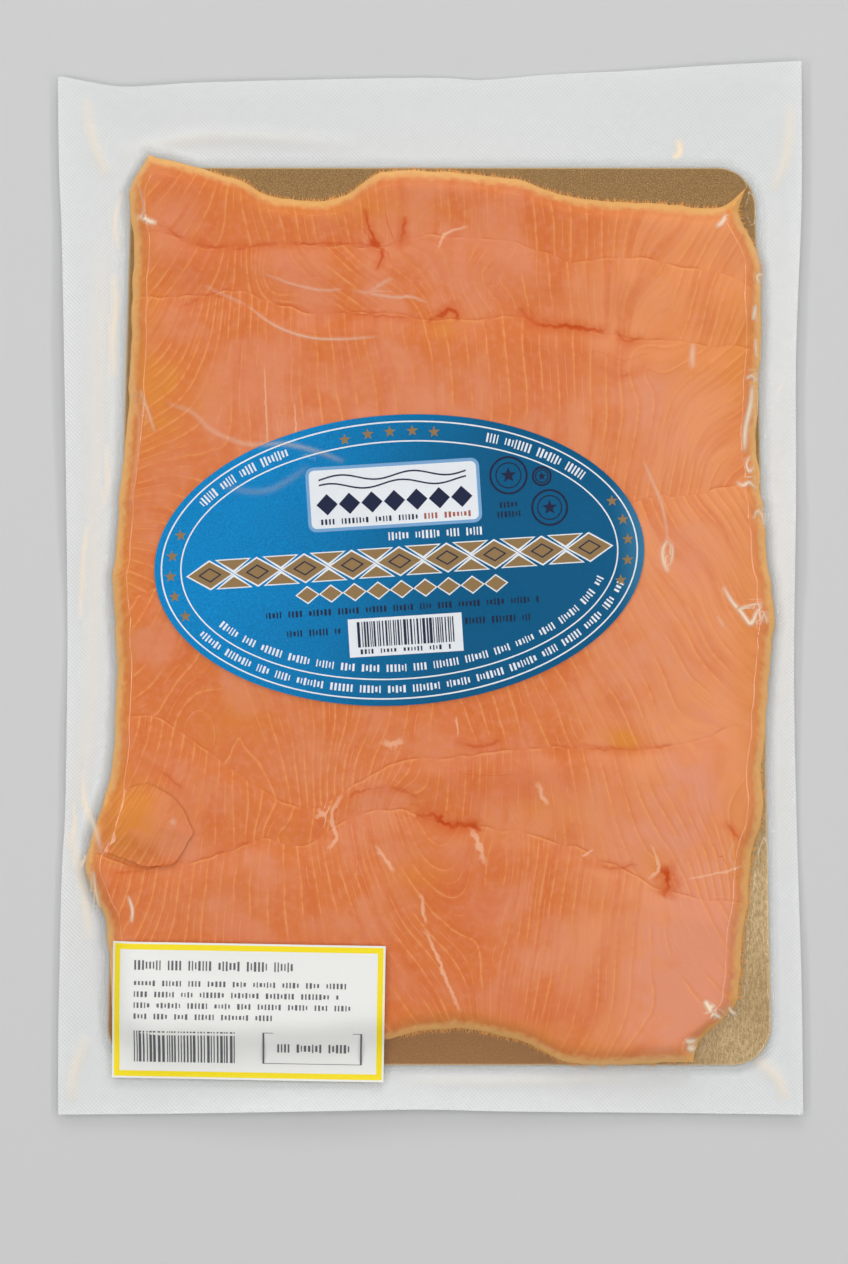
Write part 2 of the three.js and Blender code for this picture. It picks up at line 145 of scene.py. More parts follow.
# Label and sticker in millimetres
LABEL_CENTRE = (-8.5, 7.5)
LABEL_RADII = (66.5, 39.4)
LABEL_TURN = math.radians(3.6)
LABEL_THICKNESS = 0.3
STICKER_CENTRE = (-49.5, -115.2)
STICKER_SIZE = (74, 37.5)
STICKER_TURN = math.radians(-1)
STICKER_THICKNESS = 0.3
FLAP_STIFFNESS = 2.0
LABEL_STIFFNESS = 3.0
STICKER_STIFFNESS = 2.5
INK = 0.03

# Bag in millimetres
SEAL_THICKNESS = 0.35
RIM_LIFT = 1.5
RIM_LIFT_POWER = 1.6
RIM_WAVES = [(3, 0.9, 0.4), (7, 0.5, 1.3), (13, 0.25, 0)]


def srgb(red, green, blue):
    """Linear colour of a screen colour given from 0 to 255."""
    def linear(level):
        share = level / 255
        return share / 12.92 if share <= 0.04045 else ((share + 0.055) / 1.055) ** 2.4
    return tuple(linear(level) for level in (red, green, blue))


def lerp(a, b, share):
    return a + (b - a) * share


def smooth(value, low, high):
    """From 0 at low to 1 at high, flat at both ends."""
    share = np.clip((value - low) / (high - low), 0, 1)
    return share * share * (3 - 2 * share)


def cushion(distance, run):
    """From 0 at an edge to 1 at a distance in from it, round like the side of a cushion."""
    return 1 - (1 - np.clip(distance / run, 0, 1)) ** 2


def through(points):
    """A smooth curve through points whose first number rises, as a function of that number."""
    places, values = np.array(points, float).T
    last = len(places) - 1
    before = np.maximum(np.arange(last + 1) - 1, 0)
    after = np.minimum(np.arange(last + 1) + 1, last)
    slopes = (values[after] - values[before]) / (places[after] - places[before])

    def curve(at):
        at = np.asarray(at, float)
        i = np.clip(np.searchsorted(places, at) - 1, 0, last - 1)
        span = places[i + 1] - places[i]
        share = np.clip((at - places[i]) / span, 0, 1)
        bend = share * (1 - share) * span * ((1 - share) * slopes[i] - share * slopes[i + 1])
        return lerp(values[i], values[i + 1], share * share * (3 - 2 * share)) + bend
    return curve


class Lattice:
    """Values on a square lattice over the plan, read smoothly anywhere between its points."""

    def __init__(self, values, corner, pitch):
        self.values = values
        self.corner = corner
        self.pitch = pitch

    def __call__(self, x, y):
        rows, columns = self.values.shape
        u = np.clip((np.asarray(x, float) - self.corner[0]) / self.pitch, 1, columns - 3)
        v = np.clip((np.asarray(y, float) - self.corner[1]) / self.pitch, 1, rows - 3)
        i, j = u.astype(int), v.astype(int)
        across, up = self.weights(u - i), self.weights(v - j)
        total = np.zeros(np.shape(u))
        for b in range(4):
            for a in range(4):
                total += up[b] * across[a] * self.values[j + b - 1, i + a - 1]
        return total

    @staticmethod
    def weights(t):
        """Cubic B-spline weights, which never overshoot."""
        return (
            (1 - t) ** 3 / 6,
            (3 * t**3 - 6 * t**2 + 4) / 6,
            (-3 * t**3 + 3 * t**2 + 3 * t + 1) / 6,
            t**3 / 6,
        )


HILL_REACH = 170
HILL_HEIGHT = 1.8


def unevenness(seed, pitch):
    """Smooth random hills of about unit height and of that pitch in millimetres."""
    count = int(2 * HILL_REACH / pitch) + 6
    values = np.random.default_rng(seed).standard_normal((count, count)) * HILL_HEIGHT
    return Lattice(values, (-HILL_REACH, -HILL_REACH), pitch)


def turned(a, b, centre, turn):
    c, s = math.cos(turn), math.sin(turn)
    return centre[0] + c * a - s * b, centre[1] + s * a + c * b


def unturned(x, y, centre, turn):
    c, s = math.cos(turn), math.sin(turn)
    dx, dy = x - centre[0], y - centre[1]
    return c * dx + s * dy, c * dy - s * dx


def hill(x, y, centre, radii, turn=0.0):
    """A smooth hill of unit height."""
    a, b = unturned(x, y, centre, turn)
    return np.exp(-((a / radii[0]) ** 2) - (b / radii[1]) ** 2)


def eased(points, steps=6):
    """Points of a smooth curve through a few points, evenly many between each two."""
    last = len(points) - 1
    across = through([(n, point[0]) for n, point in enumerate(points)])
    up = through([(n, point[1]) for n, point in enumerate(points)])
    at = np.linspace(0, last, steps * last + 1)
    return list(zip(across(at), up(at)))


def distance_to(x, y, path):
    """Distance from each place to a path, negative on its right, and how far along its nearest point is."""
    nearest = np.full(np.shape(x), 1e9)
    along = np.zeros(np.shape(x))
    stretches = len(path) - 1
    for n in range(stretches):
        (ax, ay), (bx, by) = path[n], path[n + 1]
        dx, dy = bx - ax, by - ay
        share = np.clip(((x - ax) * dx + (y - ay) * dy) / (dx * dx + dy * dy), 0, 1)
        away = np.hypot(x - ax - share * dx, y - ay - share * dy)
        nearer = away < np.abs(nearest)
        left = dx * (y - ay) > dy * (x - ax)
        along = np.where(nearer, (n + share) / stretches, along)
        nearest = np.where(nearer, np.where(left, away, -away), nearest)
    return nearest, along


# Fish outline, a little ragged as cut flesh is

def ragged(points, seed, depth):
    curve = through(points)
    coarse, fine = unevenness(seed, 7), unevenness(seed + 1, 2.2)
    return lambda at: curve(at) + depth * (coarse(at, 0 * at) + 0.45 * fine(at, 0 * at))


fish_left = ragged(FISH_LEFT, 101, 0.35)
fish_right = ragged(FISH_RIGHT, 103, 0.35)
fish_top = ragged(FISH_TOP, 105, 0.3)
fish_bottom = ragged(FISH_BOTTOM, 107, 0.3)
upper_edges = [fish_top] + [ragged(points, 110 + 2 * n, 0.6) for n, points in enumerate(SLICE_EDGES)]
bag_left, bag_right, bag_top, bag_bottom = map(through, (BAG_LEFT, BAG_RIGHT, BAG_TOP, BAG_BOTTOM))
LAST_SLICE = len(upper_edges) - 1
flesh_bumps = unevenness(11, 7)
flesh_pits = unevenness(12, 2.4)


def inside_fish(x, y):
    sides = np.minimum(x - fish_left(y), fish_right(y) - x)
    return np.minimum(sides, np.minimum(fish_top(x) - y, y - fish_bottom(x)))


def undulation(x, y):
    hummocks = np.sin(x / 11 + y / 29 + 0.6) * np.cos(y / 14 - x / 37)
    return 0.22 * hummocks + 0.12 * np.sin(y / 8.5 + x / 23)


def slice_foot(number, x):
    """Where the next slice covers this one, or the far foot of the last."""
    return upper_edges[number + 1](x) if number < LAST_SLICE else fish_bottom(x) - OVERLAP


def slice_roof(number, x, y):
    """The top of one slice: a thin lip at its upper edge, a crest below it, then a slow fall."""
    below = upper_edges[number](x) - y
    shown = upper_edges[number](x) - slice_foot(number, x)
    hidden = np.clip((below - shown) / OVERLAP, 0, 1)
    start = SLICE_LIP if number else STEP_HEIGHT / 2
    crest = lerp(start, STEP_HEIGHT, smooth(below, 0, STEP_RISE))
    lip = lerp(LIP_START, 1, cushion(below, LIP_ROUND)) if number else 1.0
    step = crest * lip * (1 - smooth(below, 0, shown))
    relief = undulation(x, y) + BUMPS * flesh_bumps(x, y) + PITS * flesh_pits(x, y)
    middle = lerp(STACK_THICKNESS + step, FEATHER, hidden) + relief * (1 - hidden)
    return FISH_FLOOR + lerp(FISH_RIM * (1 - 0.6 * hidden), middle, cushion(inside_fish(x, y), RIM_ROUND))


def slice_floor(number, x, y):
    if number == 0:
        return np.full(np.shape(x), FISH_FLOOR)
    past = upper_edges[number](x) - y - OVERLAP
    rest = slice_roof(number - 1, x, y) + SLICE_GAP
    return lerp(rest, FISH_FLOOR, smooth(past, *FEATHER_RUN_OUT))


def fish_roof(x, y):
    """The top of the fish at any place, or the card's top outside it."""
    top = slice_roof(0, x, y)
    for number in range(1, LAST_SLICE + 1):
        top = np.where(y < upper_edges[number](x), slice_roof(number, x, y), top)
    return np.where(inside_fish(x, y) > 0, top, CARD_ROOF)


class Grain:
    """How fat lines run over a slice, as a number that is whole on each line.

    lean is how far a line moves right for each millimetre up, at each x, and spacing is how far
    lines stand apart. A knot bends lines into arcs and rings: its centre, radii, turn and lines."""

    def __init__(self, middle, spacing, lean, knots, seed):
        self.middle = middle
        self.spacing = spacing
        self.lean = through(lean)
        self.knots = knots
        self.sway = unevenness(seed, 17)
        self.wobble = unevenness(seed + 50, 6)

    def __call__(self, x, y):
        count = (x - self.lean(x) * (y - self.middle)) / self.spacing
        for centre, radii, turn, lines in self.knots:
            count = count + lines * hill(x, y, centre, radii, turn)
        return count + 0.25 * self.sway(x, y) + 0.05 * self.wobble(x, y)

    def rate(self, x, y):
        """Lines for each millimetre across them."""
        h = 0.25
        across = self(x + h, y) - self(x - h, y)
        up = self(x, y + h) - self(x, y - h)
        return np.hypot(across, up) / (2 * h)


SLICE_GRAINS = [
    Grain(102, 4.6,
          [(-80, 0.9), (-62, 0.6), (-50, -0.05), (-30, -0.15), (0, 0.05), (40, -0.1), (60, 0.15), (86, 0.7)],
          [((60, 85), (8, 15), 0.1, 1.4)], 21),
    Grain(84, 5.2,
          [(-80, 0.95), (-64, 0.75), (-54, 0.25), (-44, -0.5), (-32, -1.1), (-8, -1.1), (4, -0.4), (20, 0.1),
           (40, -0.15), (60, 0.1), (86, 0.7)],
          [((-43, 84), (5, 7), 0.2, 1.6), ((58, 64), (8, 17), 0.1, 2.2), ((14, 84), (10, 8), 0.3, 1.5)], 22),
    Grain(50, 4.9,
          [(-82, 1.5), (-72, 1.15), (-62, 0.6), (-52, 0.06), (-38, -0.02), (-20, -0.16), (0, -0.1),
           (20, 0.04), (45, 0.1), (60, 0.35), (74, 0.8), (90, 1.0)],
          [((57, 60), (6, 8), 0.3, 1.4), ((74, 40), (9, 20), 0.25, 1.0)], 23),
    Grain(-10, 4.6,
          [(-86, 0.9), (-74, 0.5), (-60, 0.1), (-40, -0.3), (-15, 0.1), (10, -0.1), (30, -0.25), (50, -0.4),
           (70, -0.7), (92, -1.1)],
          [((-64, -38), (7, 12), 0.1, 1.4), ((-24, -54), (9, 16), -0.3, 1.4), ((10, -46), (8, 18), 0.2, -1.3),
           ((76, 8), (10, 22), -0.4, -1.0), ((66, -40), (8, 20), 0.2, 1.2)], 24),
    Grain(-58, 4.4,
          [(-92, 0.6), (-70, 0.2), (-50, -0.15), (-30, 0.1), (-8, 0.0), (14, 0.1), (36, -0.1), (54, -0.3),
           (66, -0.6), (80, -0.2), (92, 0.5)],
          [((-9, -62), (8, 10), 0.1, 2.4), ((-44, -70), (6, 10), -0.2, 1.6),
           ((76, -60), (8, 12), 0.5, 1.0)], 25),
    Grain(-96, 4.7,
          [(-94, 0.7), (-80, 0.4), (-60, 0.12), (-36, -0.1), (-18, -0.35), (0, -0.7), (14, -0.4), (30, 0.1),
           (44, 0.04), (58, 0.05), (70, -0.4), (88, -0.9)],
          [((18, -68), (10, 34), 0.05, -4.2), ((52, -136), (26, 14), 0.0, 2.0)], 26),
]
FLAP_GRAIN = Grain(-64, 3.2, [(-94, 0.9), (-64, 0.6)], [((-66, -62), (10, 12), -0.2, 1.6)], 27)

# Folds in the flesh, painted dark as shade in the crease: a path in millimetres, half its width, and how
# strong it is.
FOLDS = [
    ([(-76, 100), (-66, 94.5), (-56, 92.2), (-40, 93.2), (-22, 93.6), (-15, 93)], 0.5, 0.5),
    ([(-18, 103), (-16, 96), (-13, 91), (-15, 86)], 0.5, 0.8),
    ([(-17, 94), (-13.5, 92.6)], 0.9, 0.9),
    ([(-7, 101), (-7.5, 95.5), (-9, 92)], 0.6, 0.75),
    ([(-34, 76), (-22, 74.4), (-8, 73.3), (2, 73.6)], 0.5, 0.4),
    ([(-1, 72), (5.5, 75.5), (8, 72.5)], 0.8, 0.85),
    ([(24, 76), (26, 74), (29, 71.5), (40, 70.6), (49, 69)], 0.7, 0.85),
    ([(50, 70), (53, 67), (58, 68)], 0.6, 0.5),
    ([(45, 60), (52, 57.5), (60, 60)], 0.5, 0.35),
    ([(6, -41.5), (13, -43), (20, -41)], 0.5, 0.6),
    ([(31, -44), (42, -43.6), (54, -44), (66, -43)], 0.5, 0.45),
    ([(-28, -62), (-20, -55.5), (-10, -54.5), (-3, -57)], 0.55, 0.4),
    ([(-4, -62.5), (0.5, -61.5), (4.5, -64.5), (11, -64.3), (14, -66)], 0.9, 1.0),
    ([(-58, -73), (-52, -69.5), (-46, -69)], 0.6, 0.4),
    ([(63, -75), (64.5, -80), (63, -84)], 1.1, 1.0),
    ([(40, -74), (50, -76), (56, -75)], 0.5, 0.35),
    ([(-32, -61), (-30, -64), (-33, -68)], 0.5, 0.4),
    ([(-68, 76), (-60, 79), (-52, 78.5)], 0.5, 0.3),
    ([(79, -63), (86, -70)], 0.5, 0.5),
    ([(-80, -46), (-70, -52), (-64, -60)], 0.5, 0.35),
    ([(-91, -78), (-78, -76.5), (-67, -74)], 0.5, 0.35),
]

# Pale strands of membrane: a path and half its width.
STRANDS = [
    ([(-24, -56), (-27, -62), (-25.5, -68), (-28, -71)], 0.55),
    ([(-15, -70), (-12, -74), (-10, -77)], 0.5),
    ([(-2.5, -83), (-2, -88), (-1, -91)], 0.5),
    ([(-1.5, -93), (1, -98), (4.5, -107), (8, -115)], 0.55),
    ([(11, -65.5), (13, -69.5), (15, -75)], 0.8),
    ([(29, -53), (30.5, -57), (31.5, -59)], 0.7),
    ([(41, -73), (44, -71)], 0.3),
    ([(-13, -41.5), (-10, -43), (-8, -41)], 1.0),
    ([(-30.5, -60), (-29, -61.5), (-31.5, -62)], 0.6),
    ([(7, -35), (7.5, -40)], 0.3),
    ([(59, -79), (62, -76), (60, -70)], 0.4),
    ([(70, -79), (80, -77), (86, -75)], 0.35),
    ([(10, 98), (4, 96), (2, 92)], 0.4),
    ([(-45, 60), (-44.6, 48), (-44, 36)], 0.25),
    ([(-37, 50), (-36, 36)], 0.25),
]

# Tinted patches: centre, radii, turn and strength. The deep patches are painted shade round creases, and the
# milky ones are a painted sheen of the film.
YELLOW_PATCHES = [
    ((-82, -62), (10, 8), 0.2, 0.8),
    ((-80, 66), (9, 22), 0.1, 0.9), ((-76, 52), (13, 10), 0.3, 0.9), ((-84, 0), (5, 40), 0, 0.6),
    ((53, -42), (5, 3), -0.4, 1.2), ((5, 71), (6, 3), 0.2, 0.7), ((-30, 104), (30, 4), -0.05, 0.5),
    ((-84, -60), (7, 12), 0, 0.7), ((86, -20), (4, 26), 0, 0.6), ((84, -70), (4, 16), 0, 0.6),
    ((20, -121), (26, 4), -0.15, 0.7), ((61, -75), (3, 6), 0.3, 0.5), ((-4, -78), (8, 5), 0, 0.5),
    ((30, -62), (20, 5), 0.2, 0.4), ((72, 62), (10, 8), 0.4, 0.35), ((84, 66), (5, 26), 0, 0.5),
    ((-79, 104), (4, 12), 0, 0.6), ((-52, -36), (12, 6), 0.2, 0.35),
]
FILM_SHEEN_PATCHES = [
    ((58, 52), (14, 10), 0.2, 0.6), ((66, 22), (12, 24), 0.1, 0.4), ((60, -66), (14, 8), 0.4, 0.6),
    ((72, -102), (15, 26), -0.35, 1.9), ((74, -40), (22, 60), 0, 0.35), ((44, -58), (9, 8), 0.3, 0.5),
    ((-40, 48), (26, 8), 0.1, 0.35),
    ((-30, -50), (18, 7), -0.3, 0.35), ((56, -18), (12, 14), 0.3, 0.35), ((20, 86), (14, 7), 0, 0.25),
    ((70, -52), (10, 8), 0.2, 0.5), ((-72, -66), (6, 5), 0.2, 0.3), ((0, 50), (30, 10), 0.1, 0.3),
    ((34, -100), (12, 10), 0.2, 0.3), ((-58, -86), (20, 8), 0, 0.25), ((84, 90), (5, 8), 0.5, 0.4),
]
CREASE_SHADE_PATCHES = [
    ((-20, -108), (22, 9), 0.1, 0.5), ((30, -116), (18, 7), 0.2, 0.5), ((40, 60), (18, 6), 0, 0.35),
    ((70, -62), (8, 12), 0, 0.4), ((22, -54), (18, 6), 0, 0.4), ((-60, 88), (14, 6), 0.2, 0.3),
    ((-60, 108), (14, 6), -0.3, 0.3), ((6, -80), (10, 8), 0, 0.4), ((-50, -100), (24, 8), 0, 0.35),
]

# Wrinkles that stand up in the film: a path in millimetres, half width, and how bright its painted highlight
# is.
WRINKLES = [
    ([(-50, 76.7), (-42, 71), (-33, 67.9), (-23.8, 67.4), (-14.7, 68.1)], 0.4, 0.5),
    ([(-61.6, 82), (-55, 79), (-50, 76.7)], 0.5, 0.25),
    ([(-45.4, 85.3), (-37.5, 82.4), (-29.5, 80.7), (-23.9, 81)], 0.4, 0.35),
    ([(-21, 80.6), (-10.2, 78.8), (-5.6, 79), (-1, 77.3)], 0.45, 0.4),
    ([(-17, 79.9), (-13, 82.6), (-10.2, 84.1)], 0.6, 0.3),
    ([(-79.5, 101.2), (-76.6, 99.6), (-74.3, 98.9)], 0.75, 1.1),
    ([(-79.5, 110), (-77.9, 104), (-77.5, 99)], 0.4, 0.35),
    ([(-81.3, 57.3), (-79.1, 45.6), (-79.5, 38), (-82, 20)], 0.5, 0.25),
    ([(-78.9, 54), (-77.2, 49.5), (-74.7, 42)], 0.45, 0.45),
    ([(-71.6, 50), (-64.8, 47.7), (-59, 42.5), (-50, 39), (-39.7, 39), (-31, 37), (-23.3, 34.1)], 0.7, 0.3),
    ([(-57.4, 28.1), (-50, 26.2), (-43.8, 26.5), (-38, 29.5), (-33, 33)], 0.9, 0.12),
    ([(77.5, 97.8), (79.2, 99.3), (80.6, 101.7)], 0.7, 1.0),
    ([(67.4, 122.5), (68, 118.8), (66, 117.2)], 0.9, 1.2),
    ([(89.3, 82.4), (88.8, 85), (90.6, 85.4)], 0.5, 0.9),
    ([(88.3, 77), (87.6, 72.4)], 0.7, 1.0),
    ([(88.1, 67.8), (88.6, 62.6)], 0.5, 0.8),
    ([(85.4, 56.4), (87.3, 57.7), (88.5, 55.9)], 0.5, 1.0),
    ([(87.4, 55.5), (86.9, 49.9), (85.5, 43.1), (85.2, 37)], 0.75, 1.2),
    ([(86.9, 35.9), (85.7, 33.6), (86.6, 31.4), (87.9, 33.2)], 0.45, 1.0),
    ([(83, 28.5), (85, 27.8), (86.5, 28.7), (88.4, 27)], 0.55, 1.0),
    ([(87.6, 18.6), (88.6, 21), (90.2, 19.6), (90.5, 16.6)], 0.45, 0.9),
    ([(79.2, 0.5), (81.6, -3.5), (84.4, -6.8), (86.9, -9.8), (88.4, -6.8), (90, -4.8)], 0.6, 1.1),
    ([(83.4, -5.4), (86.6, -4.8), (90.4, -4)], 0.4, 0.8),
    ([(89.5, -10), (90.5, -7), (91.4, -10)], 0.4, 0.8),
    ([(77.6, -7.4), (79.8, -10.9)], 0.5, 0.35),
    ([(64.6, 13.4), (63, 10.4), (63.3, 6.8), (64.6, 4)], 0.6, 0.9),
    ([(65.2, 12.6), (65.6, 9.4), (65, 6)], 0.5, 0.7),
    ([(57.7, 34.6), (59.9, 29.5), (62.3, 23.7), (63.7, 18), (64.2, 14)], 0.45, 0.4),
    ([(71.3, 66.5), (71, 63), (70.9, 59.5)], 0.8, 0.55),
    ([(74.2, -111.8), (75.4, -113.6), (76.2, -115.4)], 0.75, 1.3),
    ([(75.6, -116.4), (77.4, -116), (79, -117)], 0.6, 1.3),
    ([(76.6, -112.6), (77.2, -114.6), (76.8, -116.6)], 0.4, 1.0),
    ([(80.8, -113.6), (81.8, -115.2), (83.2, -116.2)], 0.55, 1.2),
    ([(69, -123), (70.6, -123.2), (72.2, -123)], 0.8, 1.3),
    ([(69.6, -124.6), (71, -125.4), (72, -124.8)], 0.75, 1.3),
    ([(83, -68), (81, -73), (84, -77)], 0.4, 0.2),
    ([(-91.6, -76.6), (-91, -82.8), (-89.9, -87.6)], 0.55, 1.0),
    ([(-82, -83.6), (-80.9, -87.3), (-81.1, -91)], 0.5, 0.9),
    ([(-93.6, -72.6), (-95.4, -76.6)], 0.5, 0.9),
    ([(-70.5, -63), (-69, -64)], 0.9, 0.3),
    ([(-99, -66), (-95, -80), (-93, -96)], 1.4, 0.5),
    ([(-93.5, 18), (-94.5, 8), (-95.6, -9)], 0.9, 0.6),
    ([(-95, -48), (-94.4, -58), (-91, -66), (-89.6, -72)], 0.9, 0.7),
    ([(-97.5, -56), (-97, -64), (-98, -72)], 0.7, 0.6),
    ([(-86.4, 86), (-85.8, 77), (-86.8, 68), (-86, 57)], 1.0, 0.6),
    ([(-88.5, 40), (-88, 30), (-89, 22)], 0.8, 0.4),
    ([(-84, 108), (-86, 100), (-85, 92)], 0.7, 0.5),
    ([(93, 56), (94.5, 54), (96, 56), (94.5, 57.5)], 0.4, 0.4),
    ([(-88, 112), (-92, 122), (-94, 134)], 1.6, 0.4),
    ([(-90, 96), (-91, 60), (-92, 20), (-93, -30), (-97, -60)], 2.2, 0.22),
    ([(-86, 118), (-60, 123), (-20, 121)], 2.0, 0.12),
    ([(93, 108), (97, 118), (98, 132)], 1.6, 0.4),
    ([(95, 60), (96, 20), (97, -30), (96.5, -80)], 2.2, 0.08),
    ([(88, -128), (94, -133), (97, -140)], 1.6, 0.5),
    ([(60, -133.5), (20, -134.5), (-8, -134)], 1.8, 0.15),
    ([(-94, -122), (-97, -132), (-98, -140)], 1.6, 0.4),
]


# Mesh making. Builders work in millimetres and meshes are in metres.

EDGE_STEPS = (0, 0.12, 0.3, 0.6, 1.0, 1.5, 2.2, 3.0)


def crowded(length, pitch, both=True):
    """Shares from 0 to 1, at that pitch, closer together at the start and at the end too if both."""
    start = np.array(EDGE_STEPS)
    end = length - start[-1] if both else length
    middle = np.linspace(start[-1], end, max(2, round((end - start[-1]) / pitch) + 1))
    parts = [start[:-1], middle] + ([length - start[-2::-1]] if both else [])
    return np.concatenate(parts) / length


def add_mesh(name, points, faces, levels=None, crease=math.radians(40), solid=True):
    """A mesh piece from points in millimetres. levels are named numbers, one for each point."""
    mesh = bpy.data.meshes.new(name)
    mesh.from_pydata([tuple(point) for point in (np.asarray(points) * MM).tolist()], [], faces)
    for level, values in (levels or {}).items():
        attribute = mesh.attributes.new(level, "FLOAT", "POINT")
        attribute.data.foreach_set("value", np.asarray(values, dtype=np.float32).ravel())
    if solid:
        turn_outwards(mesh)
    mesh.polygons.foreach_set("use_smooth", [True] * len(mesh.polygons))
    mesh.set_sharp_from_angle(angle=crease)
    mesh.update()
    piece = bpy.data.objects.new(name, mesh)
    bpy.context.scene.collection.objects.link(piece)
    return piece


def turn_outwards(mesh):
    shape = bmesh.new()
    shape.from_mesh(mesh)
    bmesh.ops.recalc_face_normals(shape, faces=shape.faces)
    shape.to_mesh(mesh)
    shape.free()


def grid_faces(rows, columns, first=0):
    """Quads of a grid of points numbered row by row."""
    at = first + np.arange(rows * columns).reshape(rows, columns)
    quads = np.stack([at[:-1, :-1], at[:-1, 1:], at[1:, 1:], at[1:, :-1]], axis=-1)
    return quads.reshape(-1, 4).tolist()


def rim_of_grid(rows, columns):
    """Numbers of a grid's outer points, once round it."""
    at = np.arange(rows * columns).reshape(rows, columns)
    return [*at[0, :-1], *at[:-1, -1], *at[-1, :0:-1], *at[:0:-1, 0]]


def slab_faces(rows, columns, first=0):
    """Faces of a closed sheet: a grid of points, the grid under it, and the sides between."""
    count = rows * columns
    faces = grid_faces(rows, columns, first)
    faces += [face[::-1] for face in grid_faces(rows, columns, first + count)]
    rim = [first + int(n) for n in rim_of_grid(rows, columns)]
    return faces + [[a, a + count, b + count, b] for a, b in zip(rim, rim[1:] + rim[:1])]


def slab(name, x, y, roof, floor, levels):
    """A closed sheet over a grid of places, between a roof and a floor."""
    top = np.stack([x, y, roof], axis=-1).reshape(-1, 3)
    bottom = np.stack([x, y, floor], axis=-1).reshape(-1, 3)
    both = {level: np.concatenate([values.ravel()] * 2) for level, values in levels.items()}
    return add_mesh(name, np.concatenate([top, bottom]), slab_faces(*x.shape), both)


def oval_grid(centre, radii, turn, across, up):
    """Places of an oval as a grid, with all corners on its rim."""
    a, b = np.meshgrid(2 * across - 1, 2 * up - 1)
    x = radii[0] * a * np.sqrt(1 - b * b / 2)
    y = radii[1] * b * np.sqrt(1 - a * a / 2)
    return turned(x, y, centre, turn)


# Heights of what lies on the fish, worked out on one lattice

GRID_PITCH = 0.8
GRID_CORNER = (-110.0, -152.0)
GRID_SHAPE = (380, 275)
grid_x, grid_y = np.meshgrid(
    GRID_CORNER[0] + GRID_PITCH * np.arange(GRID_SHAPE[1]),
    GRID_CORNER[1] + GRID_PITCH * np.arange(GRID_SHAPE[0]),
)


def on_lattice(values):
    return Lattice(values, GRID_CORNER, GRID_PITCH)


def blurred(values, radius):
    """Values on the lattice, softened over about that radius in millimetres."""
    reach = int(3 * radius / GRID_PITCH)
    steps = np.arange(-reach, reach + 1) * GRID_PITCH
    weights = np.exp(-0.5 * (steps / radius) ** 2)
    weights /= weights.sum()
    soft = np.pad(values, reach, mode="edge")
    soft = np.apply_along_axis(lambda line: np.convolve(line, weights, mode="valid"), 0, soft)
    return np.apply_along_axis(lambda line: np.convolve(line, weights, mode="valid"), 1, soft)


def resting(under, covered, stiffness, gap):
    """A sheet of that stiffness in millimetres that lies on what is under it, where covered."""
    soft = blurred(under, stiffness)
    return soft + np.max(np.where(covered, under - soft, 0)) + gap


def inside_oval(x, y, centre, radii, turn):
    """From 1 at an oval's centre to 0 at its rim, and below 0 outside."""
    a, b = unturned(x, y, centre, turn)
    return 1 - np.hypot(a / radii[0], b / radii[1])


def flap_reach(angle):
    """How far the flap reaches at an angle, as a share of its radii."""
    return 1 + sum(size * np.sin(count * angle + start) for count, size, start in FLAP_WAVES)


def inside_flap(x, y):
    """From 1 at the flap's centre to 0 at its rim, and below 0 outside."""
    a, b = unturned(x, y, FLAP_CENTRE, FLAP_TURN)
    a, b = a / FLAP_RADII[0], b / FLAP_RADII[1]
    return 1 - np.hypot(a, b) / flap_reach(np.arctan2(b, a))


def rounded_box(a, b, half, corner):
    """How far inside a box with round corners a place is."""
    qa, qb = np.abs(a) - half[0] + corner, np.abs(b) - half[1] + corner
    outside = np.hypot(np.maximum(qa, 0), np.maximum(qb, 0))
    return corner - outside - np.minimum(np.maximum(qa, qb), 0)


def inside_card(x, y):
    """How far inside the card a place is: its sides lean, so it is a box whose width and middle change."""
    up = (y - CARD_BOTTOM) / (CARD_TOP - CARD_BOTTOM)
    left = lerp(CARD_BOTTOM_SIDES[0], CARD_TOP_SIDES[0], up)
    right = lerp(CARD_BOTTOM_SIDES[1], CARD_TOP_SIDES[1], up)
    half = ((right - left) / 2, (CARD_TOP - CARD_BOTTOM) / 2)
    return rounded_box(x - (left + right) / 2, y - (CARD_TOP + CARD_BOTTOM) / 2, half, CARD_CORNER)


def inside_bag(x, y):
    sides = np.minimum(x - bag_left(y), bag_right(y) - x)
    return np.minimum(sides, np.minimum(bag_top(x) - y, y - bag_bottom(x)))


def rim_lift(x, y):
    """How far the flat rim lifts off the table, more towards its outer edge and in slow waves."""
    inner = np.maximum(-np.maximum(inside_fish(x, y), inside_card(x, y)), 0)
    share = inner / np.maximum(inner + np.maximum(inside_bag(x, y), 0), 0.01)
    angle = np.arctan2(y, x)
    waves = RIM_LIFT + sum(h * np.sin(count * angle + phase) for count, h, phase in RIM_WAVES)
    return np.maximum(waves, 0) * share**RIM_LIFT_POWER


def ridge(x, y, path, height, width):
    away, along = distance_to(x, y, eased(path))
    taper = np.sqrt(np.clip(4 * along * (1 - along), 0, 1))
    return height * taper * np.exp(-((away / width) ** 2))


fish_heights = fish_roof(grid_x, grid_y)
flap_inside = inside_flap(grid_x, grid_y)
flap_seat = on_lattice(resting(fish_heights, flap_inside > 0.1, FLAP_STIFFNESS, 0.0))


def flap_roof(x, y):
    rise = np.clip(inside_flap(x, y) / FLAP_RISE, 0, 1)
    swell = lerp(FLAP_LIP, 1, rise**2 * (3 - 2 * rise))
    return flap_seat(x, y) + FLAP_THICKNESS * swell + FLAP_BUMPS * flesh_bumps(x, y)


label_inside = inside_oval(grid_x, grid_y, LABEL_CENTRE, LABEL_RADII, LABEL_TURN)
label_top = on_lattice(resting(fish_heights, label_inside > 0, LABEL_STIFFNESS, 0.05) + LABEL_THICKNESS)


# Wrinkles wider than this, in half width, are in the mesh, and finer ones are in the film's finish.
FINE_WRINKLE = 1.25
WRINKLE_RISE = 0.35

